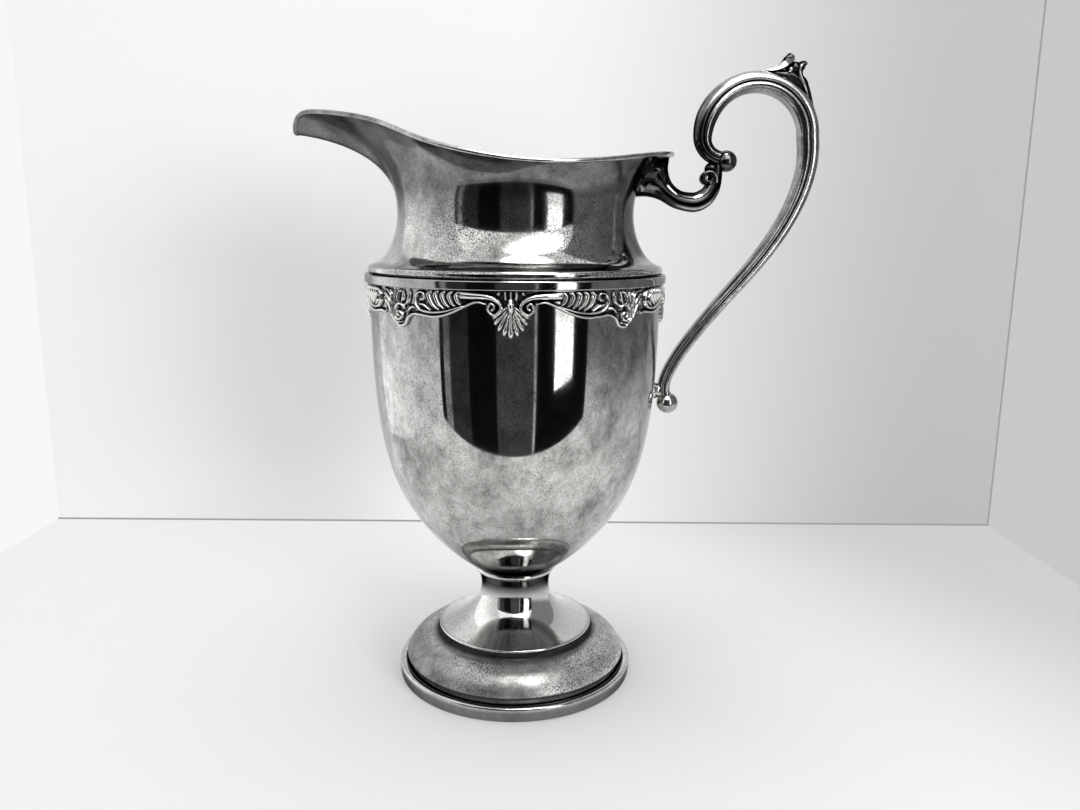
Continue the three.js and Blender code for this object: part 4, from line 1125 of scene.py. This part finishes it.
# Mound under the lobes, painted black as their shadow: angle on the loop in degrees, thickness and width in
# mm.
LEAF_MOUND = [(84, 0.8, 3.0), (77, 1.3, 4.6), (70, 2.5, 5.2), (62, 4.2, 5.6), (52, 4.6, 5.6),
              (44, 3.2, 5.2), (36, 1.8, 4.4), (28, 0.9, 3.0)]
# How deep the mound sits in the bar, in mm.
MOUND_SUNK = 0.8
# Painted dark reflection on the tip of the left lobe.
NUB_PAINTED_REFLECTION = 0.96
# Middle of the handle's loop, and lower end of its bar.
LOOP_CENTRE = (94.0 * MM, 223.5 * MM)
HANDLE_END = (61.9 * MM, 120.8 * MM)
# Where the curl ends on the loop, how it winds tighter, and its thickness and width there.
CURL_END_DEGREES = 210.0
CURL_TIGHTENING = 0.79
CURL_THICKNESS = 5.8 * MM
CURL_WIDTH = 7.0 * MM
# Angles along the loop down to where the bar leaves it, and steps along either bend of the bar.
LOOP_DEGREES = np.linspace(CURL_END_DEGREES, 0, 131)
BEND_STEPS = 60
# Steps from one knot to the next along the bracket's arm and along a lobe of the leaf.
ARM_STEPS = 12
LOBE_STEPS = 9
# Faces round a ball, a bud and the pad.
BALL_FACETS = 56
BUD_FACETS = 32
PAD_FACETS = 48
# Painted dark reflection round the curl, and on the side ridge where the bar runs down.
CURL_PAINTED_REFLECTION = 0.85
RIDGE_PAINTED_REFLECTION = 0.5


def section_of(half):
    """Ring of a section from its half, which runs from middle to middle, and the black its points keep."""
    ring = half + [(u, -w, dark) for u, w, dark in reversed(half[1:-1])]
    return [p[:2] for p in ring], [p[2] for p in ring]


def loop_point(handle, degrees):
    """Point on the handle's loop, which winds tighter towards the curl."""
    tight = max(0.0, math.radians(degrees - 180))
    r = handle.loop_radius * (1 - CURL_TIGHTENING * tight ** 2)
    a = math.radians(degrees)
    return (LOOP_CENTRE[0] + r * math.cos(a), LOOP_CENTRE[1] + r * math.sin(a))


def handle_line(handle):
    """Middle line of the handle with its thickness and width."""
    loop = np.array([loop_point(handle, a) for a in LOOP_DEGREES])
    start = loop[-1]
    shares = [(-0.075, 0.236), (0.328, 0.472), (0.486, 0.567), (0.748, 0.723), (1.065, 0.918), (1.0, 1.0)]
    knots = between(start, HANDLE_END, shares)
    upper = cubic(start, *knots[:3], BEND_STEPS)
    lower = cubic(knots[2], *knots[3:], BEND_STEPS)
    tail = np.vstack([upper, lower[1:]])
    curl = ramp(LOOP_DEGREES, 150, CURL_END_DEGREES)
    down = np.linspace(0, 1, len(tail))
    fade = (1 - down) ** 2
    thick = np.concatenate([mix(handle.upper_thickness, CURL_THICKNESS, curl),
                            mix(handle.lower_thickness, handle.upper_thickness, fade)[1:]])
    wide = np.concatenate([mix(handle.upper_width, CURL_WIDTH, curl),
                           mix(handle.lower_width, handle.upper_width, fade)[1:]])
    return np.vstack([loop, tail[1:]]), thick, wide


def ball(name, radius, seat, place, way, metal):
    """Ball on the end of a bar, with a thin ring where it leaves the bar."""
    flat = math.degrees(math.acos(min(0.95, seat / radius)))
    back = -radius * math.sin(math.radians(flat))
    skin_line = arc((0, 0), radius, -flat, 90, 26)
    skin_line[-1, 0] = 0
    rear = back - 1.2 * MM
    ring = [(0, rear), (seat * 0.8, rear), (seat * 0.98, back - 0.7 * MM), (seat * 0.9, back)]
    line = np.vstack([ring, skin_line])
    dark = np.zeros(len(line))
    dark[:len(ring) + 1] = GROOVE
    made = turned(name, line, metal, BALL_FACETS, dark)
    turn = Vector((0, 0, 1)).rotation_difference(Vector((way[0], 0, way[1]))).to_matrix().to_4x4()
    made.data.transform(Matrix.Translation((place[0], 0, place[1])) @ turn)
    return made


def bud(place, size, black, metal):
    """Small egg of metal at a place (x, z) with its three half lengths in mm, as black as given."""
    line = arc((0, 0), 1.0, -90, 90, 16)
    made = turned("bud", line, metal, BUD_FACETS, np.full(len(line), black))
    spot = Matrix.Translation((place[0] * MM, 0, place[1] * MM))
    made.data.transform(spot @ Matrix.Diagonal([s * MM for s in size] + [1]))
    return made


class PITCHER_OT_handle(bpy.types.Operator):
    """Cast the main scroll of the handle with its two balls and its pad"""
    bl_idname = "pitcher.handle"
    bl_label = "Handle"

    def execute(self, context):
        body = context.scene.pitcher_body
        handle = context.scene.pitcher_handle
        finish = context.scene.pitcher_finish
        metal = silver_plate("cast_silver_plate_handle", finish, dent=0.02 * MM)
        # The scroll ball's darker plate is painted dark reflection.
        black = silver_plate("cast_silver_plate_scroll_ball", finish)
        glossy = silver_plate("cast_silver_plate_ball", finish)
        path, thick, wide = handle_line(handle)
        ring, dark = section_of(BAR_SECTION)
        # Painted dark reflection over the curl and along the side ridge of the bar.
        film = np.full(len(path), -RIDGE_PAINTED_REFLECTION)
        film[:len(LOOP_DEGREES)] = (CURL_PAINTED_REFLECTION * ramp(LOOP_DEGREES, 115, 170)
                                    - RIDGE_PAINTED_REFLECTION * (1 - ramp(LOOP_DEGREES, 20, 60)))
        scroll = swept("cast_handle_scroll", path, outward(path), thick, wide, ring, dark, metal, film)
        settle(scroll, "plated_casting", "handle_scroll")
        ends = (("scroll_ball", handle.scroll_ball, 0, 2, black),
                ("handle_foot_ball", handle.foot_ball, -1, -3, glossy))
        for node, radius, end, before, plate in ends:
            way = path[end] - path[before]
            way = way / np.linalg.norm(way)
            half = thick[end] / 2
            place = path[end] + way * (math.sqrt(radius ** 2 - half ** 2) + SEAM)
            settle(ball("cast_" + node, radius, half, place, way, plate), "plated_casting", node)
        low, high = box_of("handle_foot_pad")
        middle = (low.z + high.z) / 2
        wall = bowl_side(body, WALL_STEPS)
        start = np.interp(middle, wall[:, 1], wall[:, 0]) - 0.5 * MM
        tall = high.x - axis_x() + 0.6 * MM - start
        r = (high.z - low.z) / 2
        post = rounded([(0, 0, 0), (r, 0, 0.4 * MM), (r * 0.94, tall * 0.25, 0.6 * MM),
                        (r * 0.74, tall * 0.6, 0.8 * MM), (r * 0.8, tall, 0.3 * MM), (0, tall, 0)])
        pad = turned("cast_handle_foot_pad", post, glossy, PAD_FACETS)
        lying = Matrix.Rotation(math.radians(90), 4, "Y")
        pad.data.transform(Matrix.Translation((start, 0, middle)) @ lying)
        settle(pad, "plated_casting", "handle_foot_pad")
        return {"FINISHED"}


class PITCHER_OT_bracket(bpy.types.Operator):
    """Cast the scroll bracket that carries the handle off the neck"""
    bl_idname = "pitcher.bracket"
    bl_label = "Handle bracket"

    def execute(self, context):
        body = context.scene.pitcher_body
        metal = silver_plate("cast_silver_plate_bracket", context.scene.pitcher_finish)
        edges = through(ARM_EDGES, ARM_STEPS) * MM
        across = edges[:, :2] - edges[:, 2:4]
        path = (edges[:, :2] + edges[:, 2:4]) / 2
        share = np.linspace(0, 1, len(path))
        ring, dark = section_of(ARM_SECTION)
        ring = np.array(ring)
        back = neck_line(body, math.pi)[LOWER_STEPS:]
        rings = []
        for middle, chord, wide in zip(path, across, edges[:, 4]):
            spot = middle + ring[:, :1] * chord
            side = ring[:, 1] * wide
            wall = np.sqrt(np.interp(spot[:, 1], back[:, 1], back[:, 0]) ** 2 - side ** 2) - 0.4 * MM
            if not rings:
                rings.append(np.stack([wall, side, spot[:, 1]], 1))
            rings.append(np.stack([np.maximum(spot[:, 0], wall + 0.05 * MM), side, spot[:, 1]], 1))
        columns = len(ring)
        faces = skin(len(rings), columns, round_columns=True)
        faces.append(tuple(range(columns)))
        faces.append(tuple(range((len(rings) - 1) * columns, len(rings) * columns)))
        points = np.array(rings).reshape(-1, 3)
        # The veins start off the neck and end before the joint with the volute; the rest of the bracket is
        # painted dark reflection.
        veined = np.concatenate([[0], ramp(share, 0.1, 0.22) * (1 - ramp(share, 0.86, 0.93))])[:, None]
        black = mix(0.86, np.array(dark)[None, :], veined).ravel()
        bracket = tidy_mesh(grid_object("cast_handle_bracket", points, faces, metal, recess=black))
        along = np.linspace(0, 1, VOLUTE_POINTS)
        reach = mix(VOLUTE_RADIUS - 1.1 * MM, 0.8 * MM, along)
        a = np.radians(np.linspace(-25, 360, VOLUTE_POINTS))
        curl = np.array(VOLUTE_CENTRE) + np.stack([np.cos(a), np.sin(a)], 1) * reach[:, None]
        wound = swept("volute", curl, -outward(curl), mix(2.2 * MM, 1.7 * MM, along),
                      np.full(VOLUTE_POINTS, VOLUTE_WIDTH), *section_of(STRIP_SECTION), metal)
        # Black egg between the arm's end and the volute: painted shade.
        painted_shade_joint = bud((77.4, 211.3), (2.8, 2.9, 2.6), CREVICE, metal)
        settle(join_into(bracket, [wound, painted_shade_joint]), "plated_casting", "handle_bracket")
        return {"FINISHED"}


class PITCHER_OT_leaf(bpy.types.Operator):
    """Cast the forked thumb leaf on top of the handle"""
    bl_idname = "pitcher.leaf"
    bl_label = "Thumb leaf"

    def execute(self, context):
        handle = context.scene.pitcher_handle
        metal = silver_plate("cast_silver_plate_leaf", context.scene.pitcher_finish)
        back = handle.loop_radius + handle.upper_thickness / 2
        grown = handle.leaf_height / LEAF_HEIGHT
        ring, dark = section_of(BLADE_SECTION)
        sections = (section_of(LEFT_SECTION), (ring, dark), (ring, np.maximum(dark, GROOVE)))
        mound = []
        for degrees, thick, wide in LEAF_MOUND:
            a = math.radians(degrees)
            place = np.array(LOOP_CENTRE) / MM
            place += (back / MM + thick / 2 - MOUND_SUNK) * np.array((math.cos(a), math.sin(a)))
            mound.append((*place, thick, wide))
        lobes = []
        for number, knots in enumerate((LEFT_LOBE, RIGHT_LOBE, mound)):
            line = through(knots, LOBE_STEPS) * MM
            path = line[:, :2]
            across = -outward(path) if number == 1 else outward(path)
            # Painted dark reflection on the tip of the left lobe.
            film = -NUB_PAINTED_REFLECTION * ramp(np.linspace(0, 1, len(path)), 0.42, 0.52) * (number == 0)
            lobes.append(swept(f"lobe_{number}", path, across, line[:, 2] * grown, line[:, 3],
                               *sections[number], metal, film))
        nub = bud((105.6, 248.3), (1.4, 4.6, 1.7), 0.0, metal)
        # Black egg between the nub and the right blade: painted shade.
        painted_shade_web = bud((107.9, 249.4), (2.5, 3.2, 2.4), CREVICE, metal)
        leaf = join_into(lobes[0], [*lobes[1:], nub, painted_shade_web])
        leaf.name = "cast_thumb_leaf"
        settle(leaf, "plated_casting", "thumb_leaf")
        return {"FINISHED"}


# Top of the tent's open front, and width of the folds that show along the back wall.
OPENING_TOP = 285.0 * MM
FOLD = 1.2 * MM
# Reach of the floor to all sides in metres, where its shade starts and is full, and its own glow.
FLOOR_REACH = 2.5
SHADE_START = 100 * MM
SHADE_END = 320 * MM
FLOOR_LIFT = 0.09
# Distance of the dark sheet from the axis, and the panes on it, which give the metal something to mirror:
# start and end along X, bottom and top in mm, shade and strength.
DARK_SHEET_Y = -450 * MM
PANES = [
    ("pane_far_left", -589, -493, -160, 500, "#9c9c9c", 1.0),
    ("pane_left", -493, -285, -160, 500, "#3a3a3a", 1.0),
    ("pane_middle", -94, 120, -160, 500, "#4c4c4c", 1.0),
    ("pane_edge", 120, 134, -160, 500, "#c4c4c4", 1.0),
    ("pane_window", 259, 434, 0, 700, "#ffffff", 2.8),
]
# Tone of the surroundings as they light the tent, and as the camera sees them.
SURROUNDINGS = (0.58, 0.58, 0.58, 1)
SURROUNDINGS_SEEN = (0.88, 0.88, 0.88, 1)
# Soft lamps: place from the axis and diameter in metres, and power in watts; and the height they aim at.
LAMP_AIM = 0.1
LAMPS = [
    ("lamp_window", (1.0, -1.25, 0.34), 0.7, 12.0),
    ("lamp_top", (-0.1, 0.0, 1.3), 1.0, 5.2),
]
# Camera worked out from the round edges of the pitcher: place from the axis, degrees that it looks down
# and is rolled, and its lens in mm on a picture 36 mm wide.
CAMERA_PLACE = (10.22 * MM, -361.87 * MM, 187.50 * MM)
CAMERA_DOWN = 11.2366
CAMERA_ROLL = 0.423
CAMERA_LENS = 29.501
CAMERA_WIDTH = 36.0


def card(name, corners, material):
    """Flat sheet of the stage."""
    obj = grid_object(name, corners, [tuple(range(len(corners)))], material)
    return obj


def level(x0, y0, x1, y1, z):
    """Corners of a level sheet."""
    return [(x0, y0, z), (x1, y0, z), (x1, y1, z), (x0, y1, z)]


def upright(x0, y0, x1, y1, low, high):
    """Corners of an upright sheet from one spot to another, seen with its start on the left."""
    return [(x0, y0, low), (x1, y1, low), (x1, y1, high), (x0, y0, high)]


# White paper without gloss, which keeps the pitcher's shadow; its corner by the right wall lies in shade.
def floor_sheet(stage, x):
    """Matt sheet under the pitcher, lifted a little for the camera and for mirrors."""
    material, add = blank_material("matt_white_sheet")
    place = add("ShaderNodeSeparateXYZ", {0: add("ShaderNodeTexCoord", out="Object")}, out=None)
    corner = add("ShaderNodeMath", {0: place["Y"], 1: 0.5, 2: place["X"]}, operation="MULTIPLY_ADD")
    shaded = add("ShaderNodeMapRange",
                 {"Value": corner, "From Min": x + SHADE_START, "From Max": x + SHADE_END},
                 interpolation_type="SMOOTHSTEP")
    tone = add("ShaderNodeMix", {0: shaded, 6: stage.floor, 7: stage.shade}, out=2, data_type="RGBA")
    path = add("ShaderNodeLightPath", out=None)
    seen = add("ShaderNodeMath", {0: path["Is Camera Ray"], 1: path["Is Glossy Ray"]}, operation="MAXIMUM")
    lift = add("ShaderNodeMath", {0: seen, 1: FLOOR_LIFT}, operation="MULTIPLY")
    sheet = add("ShaderNodeBsdfPrincipled",
                {"Base Color": tone, "Roughness": 0.85, "Specular IOR Level": 0.1,
                 "Emission Color": tone, "Emission Strength": lift})
    add("ShaderNodeOutputMaterial", {"Surface": sheet}, out=None)
    return material


# White nylon of a light tent: an even glow without gloss, seen from the inside only.
def tent_cloth(name, shade, seen, echoed, lit=False, fade=None, dim=None, glow=None):
    """Cloth with a strength for the camera and one for mirrors, which may vary and be lit by the lamps."""
    material, add = blank_material(name)
    path = add("ShaderNodeLightPath", out=None)
    place = add("ShaderNodeSeparateXYZ", {0: add("ShaderNodeTexCoord", out="Object")}, out=None)
    if dim:
        # Its strength in mirrors changes along one axis: painted light and painted shade on the cloth.
        axis, start, end, last = dim
        echoed = add("ShaderNodeMapRange", {"Value": place[axis], "From Min": start, "From Max": end,
                                            "To Min": echoed, "To Max": last},
                     interpolation_type="SMOOTHSTEP")
    if glow:
        # A lamp behind the cloth makes a soft oval in mirrors.
        oval, strength = glow
        away = 0.0
        for axis, middle, reach in oval:
            off = add("ShaderNodeMapRange",
                      {"Value": place[axis], "From Min": middle, "From Max": middle + reach}, clamp=False)
            away = add("ShaderNodeMath", {0: off, 1: off, 2: away}, operation="MULTIPLY_ADD")
        near = add("ShaderNodeMapRange", {"Value": away, "From Min": 1.0, "From Max": 0.25},
                   interpolation_type="SMOOTHSTEP")
        echoed = add("ShaderNodeMath", {0: near, 1: strength, 2: echoed}, operation="MULTIPLY_ADD")
    if fade:
        # Its colour changes along X: painted shade.
        start, end, last = fade
        share = add("ShaderNodeMapRange", {"Value": place["X"], "From Min": start, "From Max": end},
                    interpolation_type="SMOOTHSTEP")
        shade = add("ShaderNodeMix", {0: share, 6: shade, 7: last}, out=2, data_type="RGBA")
    strength = add("ShaderNodeMix", {0: path["Is Glossy Ray"], 2: seen, 3: echoed}, data_type="FLOAT")
    light = add("ShaderNodeEmission", {"Color": shade, "Strength": strength})
    if lit:
        cloth = add("ShaderNodeBsdfDiffuse", {"Color": shade})
        light = add("ShaderNodeAddShader", {0: light, 1: cloth})
    shown = path["Is Glossy Ray"]
    if seen:
        shown = add("ShaderNodeMath", {0: path["Is Camera Ray"], 1: shown}, operation="MAXIMUM")
    behind = add("ShaderNodeNewGeometry", out="Backfacing")
    inside = add("ShaderNodeMath", {0: 1.0, 1: behind}, operation="SUBTRACT")
    shown = add("ShaderNodeMath", {0: shown, 1: inside}, operation="MULTIPLY")
    clear = add("ShaderNodeBsdfTransparent")
    both = add("ShaderNodeMixShader", {0: shown, 1: clear, 2: light})
    add("ShaderNodeOutputMaterial", {"Surface": both}, out=None)
    return material


def tent_sheets(stage, x):
    """Name, corners and look of every sheet of the tent, of the dark sheet before it and of its panes."""
    left, right = x - stage.half_span, x + stage.half_span
    back, front, high = stage.back, -stage.front, stage.height
    near = back - FOLD
    white = stage.white
    crease = {"shade": linear("#a2a2a2"), "seen": 1.0, "echoed": 1.0}
    # Painted shade on the back wall, darker towards the right.
    fade = (x - 20 * MM, x + 270 * MM, linear("#b7b7b7"))
    top_glow = ((("X", x + 0.05, 0.12), ("Y", -0.11, 0.14)), 14.0)
    flap_glow = ((("X", x + 0.1, 0.16), ("Z", 0.44, 0.17)), 6.0)
    sheets = [
        ("wall_back", upright(left, back, right, back, 0, high),
         {"shade": linear("#efefef"), "seen": 0.105, "echoed": 0.02, "lit": True, "fade": fade}),
        # In mirrors the left wall brightens towards the back, beyond white: painted light.
        ("wall_left", upright(left, front, left, back, 0, high),
         {"shade": white, "seen": 0.97, "echoed": 0.78, "dim": ("Y", -0.16, 0.12, 1.4)}),
        # In mirrors the right wall darkens higher up: painted shade.
        ("wall_right", upright(right, back, right, front, 0, high),
         {"shade": white, "seen": 0.6, "echoed": 0.84, "dim": ("Z", 0.0, 0.11, 0.23)}),
        ("ceiling", level(left, back, right, front, high),
         {"shade": white, "seen": 0.9, "echoed": 1.0, "glow": top_glow}),
        ("front_flap", upright(right, front, left, front, OPENING_TOP, high),
         {"shade": white, "seen": 0.0, "echoed": 1.2, "glow": flap_glow}),
        ("crease_low", upright(left, near, right, near, 0, FOLD), crease),
        ("crease_right", upright(right - FOLD, near, right, near, 0, high), crease),
        ("dark_sheet", upright(x + 1.1, DARK_SHEET_Y, x - 1.1, DARK_SHEET_Y, -0.16, 0.8),
         {"shade": stage.dark, "seen": 0.0, "echoed": 1.0}),
    ]
    y = DARK_SHEET_Y + MM
    for name, start, end, low, top, shade, strength in PANES:
        corners = upright(x + end * MM, y, x + start * MM, y, low * MM, top * MM)
        sheets.append((name, corners, {"shade": linear(shade), "seen": 0.0, "echoed": strength}))
    return sheets


class PITCHER_OT_stage(bpy.types.Operator):
    """Set up the white tent, its soft light and the camera"""
    bl_idname = "pitcher.stage"
    bl_label = "Stage"

    def execute(self, context):
        scene = context.scene
        stage = scene.pitcher_stage
        x = axis_x()
        paper = floor_sheet(stage, x)
        wide = FLOOR_REACH
        card("floor", level(x - wide, -stage.front, x + wide, wide, 0), paper)
        apron = card("floor_front", level(x - wide, -wide, x + wide, -stage.front, 0), paper)
        apron.visible_glossy = False
        for name, corners, look in tent_sheets(stage, x):
            sheet = card(name, corners, tent_cloth(name + "_cloth", **look))
            sheet.visible_shadow = False
            sheet.visible_diffuse = False
        for name, place, size, power in LAMPS:
            data = bpy.data.lights.new(name, "AREA")
            data.shape = "DISK"
            data.size = size
            data.energy = power
            lamp = new_object(name, data)
            lamp.location = (x + place[0], place[1], place[2])
            way = Vector((x, 0, LAMP_AIM)) - lamp.location
            lamp.rotation_euler = way.to_track_quat("-Z", "Y").to_euler()
            lamp.visible_glossy = False
        world = bpy.data.worlds.new("pale_surroundings")
        world.use_nodes = True
        world.node_tree.nodes.clear()
        add = partial(add_node, world.node_tree)
        camera_ray = add("ShaderNodeLightPath", out="Is Camera Ray")
        tone = add("ShaderNodeMix", {0: camera_ray, 6: SURROUNDINGS, 7: SURROUNDINGS_SEEN}, out=2,
                   data_type="RGBA")
        add("ShaderNodeOutputWorld", {0: add("ShaderNodeBackground", {"Color": tone})}, out=None)
        scene.world = world
        lens = bpy.data.cameras.new("camera")
        lens.lens = CAMERA_LENS
        lens.sensor_width = CAMERA_WIDTH
        lens.clip_start = 0.01
        camera = new_object("camera", lens)
        camera.matrix_world = (Matrix.Translation((x + CAMERA_PLACE[0], *CAMERA_PLACE[1:]))
                               @ Matrix.Rotation(math.radians(90 - CAMERA_DOWN), 4, "X")
                               @ Matrix.Rotation(math.radians(CAMERA_ROLL), 4, "Z"))
        scene.camera = camera
        scene.view_settings.view_transform = "Standard"
        return {"FINISHED"}


class PITCHER_PT_sidebar(bpy.types.Panel):
    """Buttons and sizes of the pitcher"""
    bl_idname = "PITCHER_PT_sidebar"
    bl_label = "Water pitcher"
    bl_space_type = "VIEW_3D"
    bl_region_type = "UI"
    bl_category = "Pitcher"

    def draw(self, context):
        for maker in MAKERS:
            self.layout.operator(maker.bl_idname)
        for key, kind in GROUPS.items():
            box = self.layout.box()
            for prop in kind.__annotations__:
                box.prop(getattr(context.scene, key), prop)


MAKERS = (PITCHER_OT_foot, PITCHER_OT_pedestal, PITCHER_OT_bowl, PITCHER_OT_neck, PITCHER_OT_border,
          PITCHER_OT_handle, PITCHER_OT_bracket, PITCHER_OT_leaf, PITCHER_OT_stage)
GROUPS = {"pitcher_body": PitcherBody, "pitcher_border": PitcherBorder, "pitcher_handle": PitcherHandle,
          "pitcher_finish": PitcherFinish, "pitcher_stage": PitcherStage}


def register():
    """Makes the classes and the scene's settings known."""
    for kind in (*GROUPS.values(), *MAKERS, PITCHER_PT_sidebar):
        bpy.utils.register_class(kind)
    for key, kind in GROUPS.items():
        setattr(bpy.types.Scene, key, PointerProperty(type=kind))


def unregister():
    """Takes the settings and the classes away again."""
    for key in GROUPS:
        delattr(bpy.types.Scene, key)
    for kind in (PITCHER_PT_sidebar, *reversed(MAKERS), *reversed(GROUPS.values())):
        bpy.utils.unregister_class(kind)


def main():
    """Builds every piece and the stage."""
    register()
    for maker in MAKERS:
        getattr(bpy.ops.pitcher, maker.bl_idname.split(".")[1])()


if __name__ == "__main__":
    main()
